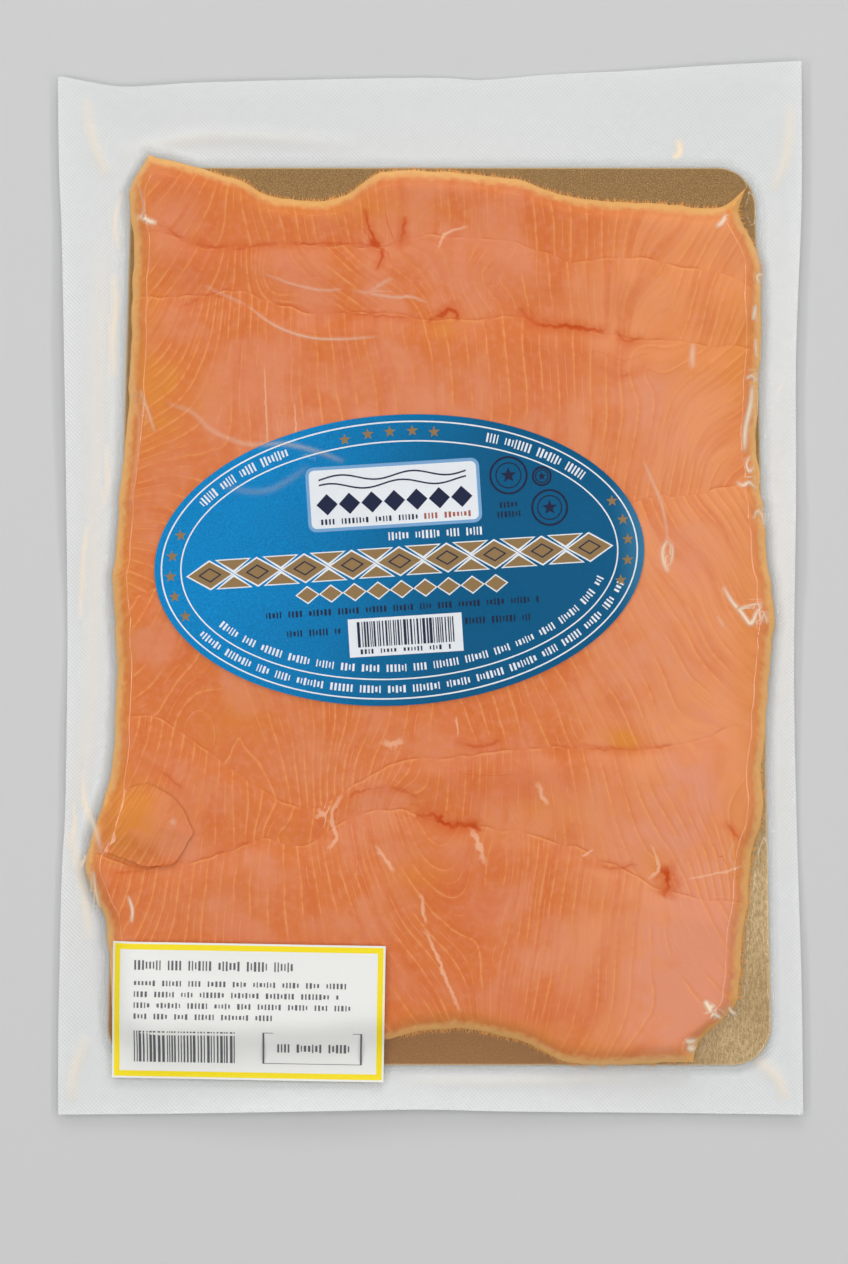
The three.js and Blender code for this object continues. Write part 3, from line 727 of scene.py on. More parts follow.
# How the front film settles: its gap over what is under it, how soft and high it starts, how often
# it is evened out, and how far it is drawn down each time.
FILM_GAP = 0.1
FILM_SOFTNESS = 2.4
FILM_START = 1.2
FILM_ROUNDS = 140
FILM_PULL = 0.05


def film_heights():
    """The front film: it clings to what lies under it and spans the steps between."""
    contents = np.where(flap_inside > 0, np.maximum(flap_roof(grid_x, grid_y), fish_heights), fish_heights)
    contents = np.where(label_inside > 0, label_top(grid_x, grid_y), contents)
    on_card = np.maximum(inside_fish(grid_x, grid_y), inside_card(grid_x, grid_y)) > 0
    seal = rim_lift(grid_x, grid_y) + SEAL_THICKNESS
    under = np.where(on_card, contents, seal) + FILM_GAP
    film = blurred(under, FILM_SOFTNESS) + FILM_START
    for _ in range(FILM_ROUNDS):
        around = np.pad(film, 1, mode="edge")
        mean = (around[:-2, 1:-1] + around[2:, 1:-1] + around[1:-1, :-2] + around[1:-1, 2:]) / 4
        film = np.maximum(under, mean - FILM_PULL)
    for path, width, _ in WRINKLES:
        if width > FINE_WRINKLE:
            film = film + ridge(grid_x, grid_y, path, WRINKLE_RISE * width, width)
    return film


film_top = on_lattice(film_heights())


class Finish:
    """A material made of nodes, added one at a time."""

    def __init__(self, name):
        self.material = bpy.data.materials.new(name)
        self.material.use_nodes = True
        self.tree = self.material.node_tree
        self.tree.nodes.clear()
        place = self.add("TexCoord").outputs["Object"]
        self.place = self.add("VectorMath", {0: place, "Scale": 1 / MM}, operation="SCALE").outputs[0]

    def add(self, kind, inputs=None, **settings):
        node = self.tree.nodes.new("ShaderNode" + kind)
        for setting, value in settings.items():
            setattr(node, setting, value)
        for socket, value in (inputs or {}).items():
            if isinstance(value, bpy.types.NodeSocket):
                self.tree.links.new(value, node.inputs[socket])
            else:
                node.inputs[socket].default_value = value
        return node

    def sum(self, operation, a, b=0.0, c=0.0):
        return self.add("Math", {0: a, 1: b, 2: c}, operation=operation).outputs[0]

    def times(self, a, b):
        return self.sum("MULTIPLY", a, b)

    def level(self, name):
        return self.add("Attribute", attribute_name=name).outputs["Fac"]

    def between(self, value, low, high, start=0.0, end=1.0):
        """From start where the value is low to end where it is high."""
        inputs = {"Value": value, "From Min": low, "From Max": high, "To Min": start, "To Max": end}
        return self.add("MapRange", inputs, interpolation_type="SMOOTHSTEP").outputs["Result"]

    def mix(self, share, a, b):
        """Colour a where share is 0 and colour b where it is 1."""
        a, b = (c if isinstance(c, bpy.types.NodeSocket) else (*c, 1) for c in (a, b))
        return self.add("Mix", {0: share, 6: a, 7: b}, data_type="RGBA").outputs[2]

    def wash(self, colour, tints):
        """Lays tints over a colour. Each is a value, its low and high, its share at each, and the tint."""
        for value, low, high, start, end, tint in tints:
            colour = self.mix(self.between(value, low, high, start, end), colour, tint)
        return colour

    def noise(self, pitch, detail=2.0, stretch=(1, 1, 1)):
        """Cloudy noise whose patches are about that many millimetres across."""
        place = self.add("VectorMath", {0: self.place, 1: stretch}, operation="MULTIPLY").outputs[0]
        return self.add("TexNoise", {"Vector": place, "Scale": 1 / pitch, "Detail": detail}).outputs["Fac"]

    def axis(self, number):
        return self.add("SeparateXYZ", {0: self.place}).outputs[number]

    def along_grain(self, grain, across, along):
        """Noise drawn out along the lines of constant grain."""
        inputs = {
            0: self.times(grain, across),
            1: self.times(self.axis(1), along),
            2: self.times(self.axis(0), along),
        }
        place = self.add("CombineXYZ", inputs).outputs[0]
        return self.add("TexNoise", {"Vector": place, "Scale": 1.0, "Detail": 2.0}).outputs["Fac"]

    def bump(self, height, depth):
        """A surface direction for a height that is given from 0 to 1, depth millimetres at most."""
        return self.add("Bump", {"Height": height, "Strength": 1.0, "Distance": depth * MM}).outputs[0]

    def surface(self, shader):
        self.tree.links.new(shader, self.add("OutputMaterial").inputs["Surface"])
        return self.material

    def principled(self, colour, roughness, **sockets):
        inputs = {"Base Color": colour, "Roughness": roughness}
        inputs.update({name.replace("_", " "): value for name, value in sockets.items()})
        return self.surface(self.add("BsdfPrincipled", inputs).outputs[0])


# Settings that a user would change

def tone(name, description, colour):
    return FloatVectorProperty(
        name=name, description=description, subtype="COLOR", size=3, min=0, max=1, default=srgb(*colour)
    )


class FishSettings(PropertyGroup):
    flesh: tone("Flesh", "Main colour of the fish", (221, 122, 66))
    yellow: tone("Yellow flesh", "Colour of the oily yellow patches", (224, 138, 60))
    # milky is the pale mottle of the flesh, and in the milky patches a painted sheen of the film
    milky: tone("Milky flesh", "Colour where pale fat lies just under the surface", (230, 150, 116))
    pale: tone("Pale flesh", "Colour of the brighter right side", (242, 161, 104))
    # oily is the thin flesh's tone, set brighter as painted light against the shade on the rounded edge
    oily: tone("Oily edge", "Colour of the thin flesh near the edge", (234, 140, 64))
    # deep is the darker muscle's colour, and also painted shade in the deep patches, round folds and on one
    # side of each fat line
    deep: tone("Deep flesh", "Colour of the darker muscle", (214, 104, 50))
    # line is also the colour of the painted highlight along each slice's upper edge
    line: tone("Fat line", "Colour of the thin fat lines", (244, 172, 104))
    fringe: tone("Fringe", "Colour of the thin dried edge", (248, 190, 112))
    # fold is painted shade, deep in the folds and just above the next slice's edge
    fold: tone("Fold", "Colour deep inside a fold", (200, 72, 12))
    strand: tone("Strand", "Colour of pale membrane strands", (242, 184, 148))
    line_width: FloatProperty(
        name="Fat line width", description="Width of a fat line", default=0.0004, unit="LENGTH"
    )


class CardSettings(PropertyGroup):
    gold: tone("Gold", "Colour of the gold laminate", (168, 128, 72))
    dull: tone("Dull gold", "Colour of the streaks in the laminate", (128, 98, 58))
    # bright is also the colour of the painted sheen at the card's lower right
    bright: tone("Bright gold", "Colour of the laminate where it shines", (240, 210, 158))
    lower_brown: tone("Brown gold", "Colour of the laminate at the lower edge", (172, 116, 72))
    back: tone("Back", "Colour of the card's plain back", (226, 222, 212))


class LabelSettings(PropertyGroup):
    azure: tone("Azure", "Colour of the label's left side", (0, 144, 212))
    blue: tone("Blue", "Colour of the label's right side", (0, 94, 138))
    pale: tone("Pale blue", "Border of the white panel", (120, 170, 215))
    white: tone("White", "White ink", (236, 240, 244))
    gold: tone("Gold", "Gold ink", (166, 134, 88))
    navy: tone("Navy", "Dark ink", (22, 32, 66))
    brick: tone("Brick", "Red-brown ink", (172, 84, 64))


class FilmSettings(PropertyGroup):
    haze: tone("Haze", "Colour of the milky embossed film", (244, 246, 246))
    # The glint is a painted highlight, laid along the film's wrinkles as a white diffuse
    painted_glint: tone("Glint", "Colour of a bright wrinkle", (255, 234, 204))
    rim_haze: FloatProperty(
        name="Rim haze", description="How milky the sealed rim is", subtype="FACTOR", min=0, max=1,
        default=0.72,
    )
    wrinkle_shine: FloatProperty(
        name="Wrinkle shine", description="How white a bright wrinkle is", subtype="FACTOR", min=0, max=1,
        default=0.8,
    )
    emboss: FloatProperty(
        name="Emboss", description="Depth of the embossed pattern", default=0.00005, unit="LENGTH"
    )


class StickerSettings(PropertyGroup):
    paper: tone("Paper", "Colour of the sticker's paper", (240, 240, 236))
    border: tone("Border", "Colour of the sticker's border", (250, 226, 30))
    print: tone("Print", "Colour of the sticker's bars", (96, 98, 102))


class StageSettings(PropertyGroup):
    floor: tone("Floor", "Colour of the floor", (206, 206, 207))
    world: FloatProperty(name="Sky light", description="Strength of the even light", default=0.25, min=0)
    key: FloatProperty(name="Key light", description="Power of the main soft light", default=22.0, min=0)
    top: FloatProperty(name="Top light", description="Power of the soft light overhead", default=20.5, min=0)
    strip: FloatProperty(name="Strip lights", description="Power of the side strips", default=0.9, min=0)


class PackSettings(PropertyGroup):
    fish: PointerProperty(type=FishSettings)
    card: PointerProperty(type=CardSettings)
    label: PointerProperty(type=LabelSettings)
    film: PointerProperty(type=FilmSettings)
    sticker: PointerProperty(type=StickerSettings)
    stage: PointerProperty(type=StageSettings)


def place_piece(piece, material, slot, *replaced):
    """Gives a piece its finish and its body, and hides the nodes that it stands for. The slot is not used."""
    piece.data.materials.append(material)
    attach(piece, BODY)
    if replaced:
        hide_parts(*replaced)


# Gold card

def card_outline(inset):
    """Points round the card, that far inside its edge."""
    radius = CARD_CORNER - inset
    low, high = CARD_BOTTOM + inset + radius, CARD_TOP - inset - radius
    middles = [
        (CARD_BOTTOM_SIDES[0] + inset + radius, low), (CARD_BOTTOM_SIDES[1] - inset - radius, low),
        (CARD_TOP_SIDES[1] - inset - radius, high), (CARD_TOP_SIDES[0] + inset + radius, high),
    ]
    points = []
    for n, (x, y) in enumerate(middles):
        for angle in math.pi + (n + np.linspace(0, 1, CORNER_STEPS + 1)) * math.pi / 2:
            points.append((x + radius * math.cos(angle), y + radius * math.sin(angle)))
    return points


def card_finish(look):
    finish = Finish("gold laminate")
    streaks = finish.noise(0.4, 2.0, (1, 0.25, 1))
    grain = finish.noise(0.25, 1.0, (1, 0.7, 1))
    clouds = finish.noise(24, 2.0)
    across, up = finish.axis(0), finish.axis(1)
    # Painted sheen: the laminate is painted brighter towards its lower right, as a glare on it
    low = finish.between(up, 20, -70)
    painted_shine = finish.times(finish.between(across, 60, 80), low)
    painted_shine = finish.times(painted_shine, finish.between(clouds, 0.3, 0.7, 0.6, 0.95))
    colour = finish.mix(painted_shine, look.gold, look.bright)
    colour = finish.wash(colour, [
        (streaks, 0.3, 0.7, 0.55, 0.05, look.dull),
        (grain, 0.5, 0.75, 0, 0.5, look.bright),
        (grain, 0.5, 0.3, 0, 0.5, look.dull),
    ])
    # Browner towards the lower edge
    lower_brown = finish.times(finish.between(up, -80, -110, 0, 0.6), finish.between(across, 66, 40))
    colour = finish.mix(lower_brown, colour, look.lower_brown)
    colour = finish.mix(finish.times(finish.level("rim"), 0.6), colour, look.bright)
    face = finish.between(finish.axis(2), CARD_FLOOR + 0.15, CARD_FLOOR + 0.3)
    colour = finish.mix(face, look.back, colour)
    normal = finish.bump(finish.sum("ADD", streaks, grain), 0.04)
    return finish.principled(colour, 0.42, Normal=normal, Metallic=0.25)


class SALMON_OT_card(Operator):
    """Makes the gold laminated card under the fish"""
    bl_idname = "salmon_pack.card"
    bl_label = "Gold Card"

    def execute(self, context):
        rings = [
            (CARD_BEVEL, CARD_FLOOR), (0, CARD_FLOOR + CARD_BEVEL), (0, CARD_ROOF - CARD_BEVEL),
            (CARD_BEVEL, CARD_ROOF), (0.5, CARD_ROOF),
        ]
        points = [(x, y, z) for inset, z in rings for x, y in card_outline(inset)]
        count = len(points) // len(rings)
        last = len(rings) - 1
        faces = [list(range(count))[::-1], list(range(last * count, len(points)))]
        for ring in range(len(rings) - 1):
            for n in range(count):
                a, b = ring * count + n, ring * count + (n + 1) % count
                faces.append([a, b, b + count, a + count])
        rim = np.repeat([1.0] * last + [0.0], count)
        piece = add_mesh("gold_card_sheet", points, faces, {"rim": rim})
        place_piece(piece, card_finish(context.scene.salmon_pack.card), "gold_card", "gold_card")
        return {"FINISHED"}


# Fish

# Levels that say that no slice edge, or no fold or strand, is near.
NO_EDGE = 9.0
NO_MARK = 20.0


def patches(x, y, spots):
    return sum(strength * hill(x, y, centre, radii, turn) for centre, radii, turn, strength in spots)


wide_clouds, small_clouds, specks = unevenness(16, 7), unevenness(17, 2.8), unevenness(18, 1.4)


def nearest_mark(x, y, marks, power=0.35):
    """How many half widths away the nearest mark is, and how strong it is there."""
    gap = np.full(np.shape(x), NO_MARK)
    strength = np.zeros(np.shape(x))
    for path, width, amount in marks:
        away, along = distance_to(x, y, eased(path))
        taper = np.clip(4 * along * (1 - along), 0, 1) ** power
        nearer = np.abs(away) / width < np.abs(gap)
        strength = np.where(nearer, amount * taper, strength)
        gap = np.where(nearer, away / width, gap)
    return gap, strength


def flesh_levels(x, y, grain, edge, foot, lip):
    """The named numbers that the fish's finish reads at each point."""
    fold_gap, fold_depth = nearest_mark(x, y, FOLDS)
    strand_gap, strand_depth = nearest_mark(x, y, [(path, width, 1.0) for path, width in STRANDS])
    return {
        "clouds": 0.5 + 0.1 * wide_clouds(x, y) + 0.04 * small_clouds(x, y),
        "mottle": 0.5 + 0.09 * small_clouds(x + 40, y) + 0.04 * specks(x, y),
        "grain": grain(x, y),
        "grain_rate": grain.rate(x, y),
        "edge": edge,
        "foot": foot,
        "lip": lip,
        "yellow": patches(x, y, YELLOW_PATCHES),
        "milky": patches(x, y, FILM_SHEEN_PATCHES),
        "deep": patches(x, y, CREASE_SHADE_PATCHES),
        "fold_gap": fold_gap,
        "fold_depth": fold_depth,
        "strand_gap": strand_gap,
        "strand_depth": strand_depth,
    }


def fish_finish(look):
    finish = Finish("smoked salmon")
    wide, middling, small = finish.level("clouds"), finish.level("mottle"), finish.noise(2.2, 2.0)
    grain = finish.sum("MULTIPLY_ADD", middling, 0.2, finish.level("grain"))
    rate = finish.level("grain_rate")

    # Muscle between the fat lines
    streaks = finish.along_grain(grain, 1.1, 0.03)
    fibres = finish.along_grain(grain, 7.0, 0.12)
    colour = finish.wash(look.flesh, [
        (wide, 0.42, 0.66, 0, 0.55, look.milky),
        (finish.sum("MULTIPLY_ADD", wide, 40.0, finish.axis(0)), 45, 95, 0, 0.75, look.pale),
        (streaks, 0.44, 0.72, 0, 0.5, look.deep),
        (fibres, 0.45, 0.75, 0, 0.35, look.yellow),
        (small, 0.42, 0.75, 0, 0.3, look.milky),
    ])
    # Painted shade in the deep patches and a painted sheen of the film in the milky ones, laid over the flesh
    # with the yellow ones
    uneven = finish.between(middling, 0.32, 0.68, 0.4, 1.4)
    for name in ("deep", "milky", "yellow"):
        share = finish.sum("MINIMUM", finish.times(finish.level(name), uneven), 1.0)
        colour = finish.mix(share, colour, getattr(look, name))

    # Fat lines, with painted shade on one side of each for relief
    whole = finish.sum("FRACT", grain)
    away = finish.sum("SUBTRACT", 0.5, finish.sum("ABSOLUTE", finish.sum("SUBTRACT", whole, 0.5)))
    distance = finish.sum("DIVIDE", away, rate)
    half = look.line_width / MM / 2
    line = finish.between(distance, half * 0.5, half * 1.7, 1, 0)
    fade = finish.between(wide, 0.62, 0.4, 0.1, 1)
    broken = finish.between(small, 0.3, 0.55, 0.35, 1)
    crowding = finish.between(rate, 0.5, 1.1, 1, 0.25)
    shown = finish.times(finish.times(fade, broken), crowding)
    shade = finish.between(finish.sum("DIVIDE", whole, rate), 0.15, 1.5, 0.3, 0)
    colour = finish.mix(finish.times(shade, fade), colour, look.deep)
    glow = finish.between(distance, 0.0, 1.1, 0.16, 0)
    line = finish.times(finish.sum("MAXIMUM", finish.times(line, 0.5), glow), shown)
    colour = finish.mix(line, colour, look.line)
    between_lines = finish.sum("DIVIDE", finish.sum("SUBTRACT", 0.5, away), rate)
    hair = finish.between(between_lines, 0.04, 0.22, 0.3, 0)
    hair = finish.times(hair, finish.between(middling, 0.46, 0.6))
    colour = finish.mix(hair, colour, look.line)

    # Slice edges with painted shade and a painted highlight, folds with painted shade, and strands
    patchy = finish.between(middling, 0.42, 0.6)
    # Painted shade just above where the next slice covers this one, in the fold colour
    foot = finish.times(finish.between(finish.level("foot"), 0.0, 1.0, 0.3, 0), patchy)
    colour = finish.mix(foot, colour, look.fold)
    # Painted highlight along a slice's upper edge, in the fat line colour
    lip = finish.times(finish.between(finish.level("lip"), 0.1, 1.0, 0.35, 0), patchy)
    colour = finish.mix(lip, colour, look.line)
    jagged = finish.sum("MULTIPLY_ADD", small, 3.4, -1.7)
    gap = finish.sum("ABSOLUTE", finish.sum("ADD", finish.level("fold_gap"), jagged))
    depth = finish.sum("SUBTRACT", finish.level("fold_depth"), finish.between(middling, 0.4, 0.58, 0.5, 0))
    depth = finish.sum("MAXIMUM", depth, 0.0)
    # Painted shade round a fold: a darker halo in the deep colour
    painted_halo = finish.times(finish.between(gap, 0.5, 4.5, 0.8, 0), finish.level("fold_depth"))
    colour = finish.mix(painted_halo, colour, look.deep)
    # Painted shade in the fold's crease
    fold = finish.times(finish.between(gap, 0.3, 1.1, 1, 0), depth)
    colour = finish.mix(fold, colour, look.fold)
    gap = finish.sum("ABSOLUTE", finish.sum("ADD", finish.level("strand_gap"), jagged))
    strand = finish.times(finish.between(gap, 0.4, 1.3, 0.75, 0), finish.level("strand_depth"))
    colour = finish.mix(strand, colour, look.strand)

    # Dried edge; the oily band is the thin flesh's yellower tone, painted brighter to offset the shade on the
    # rounded edge
    edge = finish.sum("MULTIPLY_ADD", small, -2.4, finish.level("edge"))
    colour = finish.wash(colour, [
        (edge, -0.5, 5.0, 0.55, 0, look.oily),
        (edge, -0.7, 2.0, 0.95, 0, look.fringe),
    ])
    normal = finish.bump(finish.noise(0.8, 0.0), 0.03)
    return finish.principled(colour, 0.42, Normal=normal, Specular_IOR_Level=0.1)


FISH_WIDTH = 176
SHOWN_LENGTHS = (21, 18, 58, 56, 24, 54)
FISH_PITCH = 0.95
HIDDEN_ROWS = (0.04, 0.15, 0.35, 0.6, 0.8, 1.0)
FITTING_ROUNDS = 8


def slice_places(number):
    """The grid of places of one slice, rows running down from its upper edge."""
    last = number == LAST_SLICE
    across = crowded(FISH_WIDTH, FISH_PITCH)
    down = crowded(SHOWN_LENGTHS[number], FISH_PITCH, both=last)
    hidden = 1 + np.array([] if last else HIDDEN_ROWS)
    down, across = np.meshgrid(np.concatenate([down, hidden]), across, indexing="ij")
    x = lerp(-85.0, 88.0, across)
    for _ in range(FITTING_ROUNDS):
        upper = upper_edges[number](x)
        foot = fish_bottom(x) if last else slice_foot(number, x)
        y = np.where(down <= 1, lerp(upper, foot, np.minimum(down, 1)), foot - (down - 1) * OVERLAP)
        x = lerp(fish_left(y), fish_right(y), across)
    return x, y


class SALMON_OT_slices(Operator):
    """Makes the overlapping slices of fish with their fat lines"""
    bl_idname = "salmon_pack.slices"
    bl_label = "Salmon Slices"

    def execute(self, context):
        finish = fish_finish(context.scene.salmon_pack.fish)
        for number in range(LAST_SLICE + 1):
            x, y = slice_places(number)
            floor = slice_floor(number, x, y)
            roof = np.maximum(slice_roof(number, x, y), floor + THINNEST)
            # foot and lip are distances that the finish uses for painted shade above the next slice's edge
            # and a painted highlight at this slice's upper edge
            foot = y - slice_foot(number, x)
            lip = upper_edges[number](x) - y if number else np.full(x.shape, NO_EDGE)
            levels = flesh_levels(x, y, SLICE_GRAINS[number], inside_fish(x, y), foot, lip)
            dip = FOLD_DIP * levels["fold_depth"] * np.exp(-levels["fold_gap"] ** 2) * (foot > 0)
            roof = np.maximum(roof - dip, floor + THINNEST)
            name = f"slice_{number + 1}"
            place_piece(slab(f"salmon_{name}", x, y, roof, floor, levels), finish, "salmon", name)
        return {"FINISHED"}


class SALMON_OT_flap(Operator):
    """Makes the small folded flap of fish at the left edge"""
    bl_idname = "salmon_pack.flap"
    bl_label = "Folded Flap"

    def execute(self, context):
        across, up = crowded(2 * FLAP_RADII[0], 0.6), crowded(2 * FLAP_RADII[1], 0.6)
        a, b = oval_grid((0, 0), (1, 1), 0, across, up)
        reach = flap_reach(np.arctan2(b, a))
        x, y = turned(a * reach * FLAP_RADII[0], b * reach * FLAP_RADII[1], FLAP_CENTRE, FLAP_TURN)
        x = np.maximum(x, fish_left(y) + FLAP_INSET)
        inside = inside_flap(x, y) * FLAP_RADII[1]
        edge = np.maximum(inside_fish(x, y), 0.7 * inside)
        no_edge = np.full(x.shape, NO_EDGE)
        levels = flesh_levels(x, y, FLAP_GRAIN, edge, no_edge, no_edge)
        piece = slab("salmon_flap", x, y, flap_roof(x, y), flap_seat(x, y), levels)
        place_piece(piece, bpy.data.materials["smoked salmon"], "salmon", "slice_flap")
        return {"FINISHED"}


# Fibres that stick out of the fish's edge over the card: the side, from, to, which way they point,
# how many, and whether the side runs up the pack.
FRINGE_RUNS = [
    (fish_top, -60, 78, 1, 950, False), (fish_bottom, -8, 42, -1, 420, False),
    (fish_bottom, 42, 70, -1, 90, False), (fish_right, -112, -40, 1, 420, True),
    (fish_right, 84, 104, 1, 80, True),
]
FIBRE_LEAN = 0.35
FIBRE_SINK = 0.5
FIBRE_LENGTHS = (0.7, 2.0)
FIBRE_RADII = (0.05, 0.1)


class SALMON_OT_fringe(Operator):
    """Makes the fine dried fibres along the fish's edge"""
    bl_idname = "salmon_pack.fringe"
    bl_label = "Edge Fibres"

    def execute(self, context):
        draw = np.random.default_rng(5)
        roots = []
        for side, low, high, way, count, upright in FRINGE_RUNS:
            for at in draw.uniform(low, high, count):
                root, lean = (float(side(np.array(at))), at), (way, draw.normal(0, FIBRE_LEAN))
                roots.append((root, lean) if upright else (root[::-1], lean[::-1]))
        points, faces = [], []
        for (x, y), (dx, dy) in roots:
            root = (x - dx * FIBRE_SINK, y - dy * FIBRE_SINK)
            length = draw.uniform(*FIBRE_LENGTHS)
            self.fibre(points, faces, root, (dx, dy), length, draw.uniform(*FIBRE_RADII))
        everywhere = {"edge": 0, "foot": NO_EDGE, "lip": NO_EDGE, "fold_gap": NO_MARK, "strand_gap": NO_MARK}
        levels = {name: np.full(len(points), value) for name, value in everywhere.items()}
        piece = add_mesh("edge_fibres", points, faces, levels)
        place_piece(piece, bpy.data.materials["smoked salmon"], "salmon")
        return {"FINISHED"}

    @staticmethod
    def fibre(points, faces, root, way, length, radius):
        """A thin three-sided spike that lies out from the fish and down on the card."""
        first = len(points)
        side = (-way[1], way[0])
        for share, height, size in ((0, 0.5, 1), (0.55, 0.2, 0.8)):
            x, y = root[0] + way[0] * length * share, root[1] + way[1] * length * share
            z = CARD_ROOF + height
            points.append((x + side[0] * radius * size, y + side[1] * radius * size, z))
            points.append((x - side[0] * radius * size, y - side[1] * radius * size, z))
            points.append((x, y, z + 1.6 * radius * size))
        points.append((root[0] + way[0] * length, root[1] + way[1] * length, CARD_ROOF + 0.06))
        faces.append([first, first + 1, first + 2])
        for a, b in ((0, 1), (1, 2), (2, 0)):
            faces.append([first + a, first + b, first + 3 + b, first + 3 + a])
            faces.append([first + 3 + a, first + 3 + b, first + 6])


# Label and its print

class Inks:
    """Flat shapes in one ink, laid on a curved sheet. Places are in the sheet's own millimetres."""

    def __init__(self, surface, centre, turn, lift=0.0):
        self.surface = surface
        self.centre = centre
        self.turn = turn
        self.lift = lift
        self.points = []
        self.faces = []

    def lay(self, places):
        """Adds the upper and lower point of each place, and returns the number of the first."""
        first = len(self.points)
        a, b = np.array(places, float).T
        x, y = turned(a, b, self.centre, self.turn)
        z = self.surface(x, y) + self.lift
        for height in (INK, -INK):
            self.points.extend(zip(x, y, z + height))
        return first

    def strip(self, one_side, other_side, closed=False):
        """A strip between two lines of as many places each."""
        count = len(one_side)
        first = self.lay(list(one_side) + list(other_side))
        one, other, under = first, first + count, 2 * count
        last = count if closed else count - 1
        for n in range(last):
            a, b = n, (n + 1) % count
            self.faces.append([one + a, one + b, other + b, other + a])
            self.faces.append([one + under + a, other + under + a, other + under + b, one + under + b])
            self.faces.append([one + a, one + under + a, one + under + b, one + b])
            self.faces.append([other + a, other + b, other + under + b, other + under + a])
        if not closed:
            for end in (0, count - 1):
                self.faces.append([one + end, other + end, other + under + end, one + under + end])

    def patch(self, outline, rings=1):
        """A filled shape, with more rings of points inside a large one so that it follows the sheet."""
        count, total = len(outline), len(outline) * rings
        middle = np.mean(outline, axis=0)
        places = [middle + (np.array(p) - middle) * (1 - k / rings) for k in range(rings) for p in outline]
        first = self.lay(places)
        inner = first + total - count
        self.faces.append([inner + n for n in range(count)])
        self.faces.append([inner + total + n for n in range(count)][::-1])
        for n in range(count):
            a, b = first + n, first + (n + 1) % count
            self.faces.append([a, a + total, b + total, b])
            for _ in range(rings - 1):
                self.faces.append([a, b, b + count, a + count])
                self.faces.append([a + total, a + total + count, b + total + count, b + total])
                a, b = a + count, b + count

    def bar(self, a0, a1, b0, b1, pitch=2.0):
        """A filled rectangle of any size."""
        a, b = np.meshgrid(
            np.linspace(a0, a1, max(2, int(abs(a1 - a0) / pitch) + 2)),
            np.linspace(b0, b1, max(2, int(abs(b1 - b0) / pitch) + 2)),
        )
        first = self.lay(np.stack([a.ravel(), b.ravel()], axis=1))
        self.faces += slab_faces(*a.shape, first)

    def ring(self, centre, radii, width, steps=48):
        angles = np.linspace(0, 2 * math.pi, steps, endpoint=False)
        sides = []
        for grow in (0, -width):
            sides.append([
                (centre[0] + (radii[0] + grow) * math.cos(t), centre[1] + (radii[1] + grow) * math.sin(t))
                for t in angles
            ])
        self.strip(*sides, closed=True)

    def frame(self, outline, width):
        """A line of that width inside a small convex outline."""
        middle = np.mean(outline, axis=0)
        reach = np.min(np.hypot(*(np.array(outline) - middle).T))
        inner = [tuple(middle + (np.array(p) - middle) * (1 - width / reach)) for p in outline]
        self.strip(outline, inner, closed=True)

    def piece(self, name, material, slot):
        piece = add_mesh(name, self.points, self.faces)
        place_piece(piece, material, slot)


def rounded_outline(centre, half, corner, pitch=1.5):
    """Points round a box with round corners."""
    points = []
    for turn, (a, b) in enumerate(((1, 1), (-1, 1), (-1, -1), (1, -1))):
        middle = (centre[0] + a * (half[0] - corner), centre[1] + b * (half[1] - corner))
        for step in range(5):
            angle = (turn + step / 4) * math.pi / 2
            points.append((middle[0] + corner * math.cos(angle), middle[1] + corner * math.sin(angle)))
    full = []
    for one, other in zip(points, points[1:] + points[:1]):
        steps = max(1, int(math.dist(one, other) / pitch))
        full += [(lerp(one[0], other[0], n / steps), lerp(one[1], other[1], n / steps)) for n in range(steps)]
    return full


def star(centre, size):
    points = []
    for n in range(10):
        radius = size if n % 2 == 0 else size * 0.42
        angle = math.pi / 2 + n * math.pi / 5
        points.append((centre[0] + radius * math.cos(angle), centre[1] + radius * math.sin(angle)))
    return points


def lozenge(centre, half, steps=4):
    a, b = centre
    corners = [(a - half[0], b), (a, b - half[1]), (a + half[0], b), (a, b + half[1])]
    points = []
    for one, other in zip(corners, corners[1:] + corners[:1]):
        for n in range(steps):
            points.append((lerp(one[0], other[0], n / steps), lerp(one[1], other[1], n / steps)))
    return points


def frieze(number):
    """The centre of a shape in the label's wide band."""
    return tuple(first + number * step for first, step in zip(BAND_FIRST, BAND_STEP))


def wedge(centre, grow, way):
    """A triangle that points at the band's middle from above or below."""
    a, b = centre
    base = b + way * (WEDGE_BASE + 0.6 * grow)
    tip = b + way * (WEDGE_TIP - 1.6 * grow)
    reach = WEDGE_REACH + 1.5 * grow
    half_way = (base + tip) / 2
    return [
        (a - reach, base), (a - reach / 2, half_way), (a, tip), (a + reach / 2, half_way), (a + reach, base),
        (a, base),
    ]


def band(ink, half, grow, small_half):
    """The wide band of lozenges and triangles, and the row of small lozenges under it."""
    for n in range(BAND_COUNT):
        ink.patch(lozenge(frieze(n), half), 3)
    for n in range(BAND_COUNT - 1):
        for way in (1, -1):
            ink.patch(wedge(frieze(n + 0.5), grow, way), 2)
    for n in range(BAND_COUNT):
        ink.patch(lozenge((SMALL_ROW_START[0] + SMALL_ROW_STEP * n, SMALL_ROW_START[1]), small_half))


def upright_bars(ink, start, end, low, high, widths, gaps, draw):
    """A row of upright bars of uneven width, as a code has."""
    at = start
    while at < end:
        width = draw.choice(widths)
        ink.bar(at, at + width, low, high)
        at += width + draw.choice(gaps)


def ink_finish(name, colour, roughness=0.4, metallic=0.0):
    """Printed ink with a faint mottle."""
    finish = Finish(name)
    mottle = finish.between(finish.noise(0.5, 3.0), 0.3, 0.8, 0, 0.12)
    worn = tuple(channel * 0.7 for channel in colour)
    return finish.principled(finish.mix(mottle, colour, worn), roughness, Metallic=metallic)


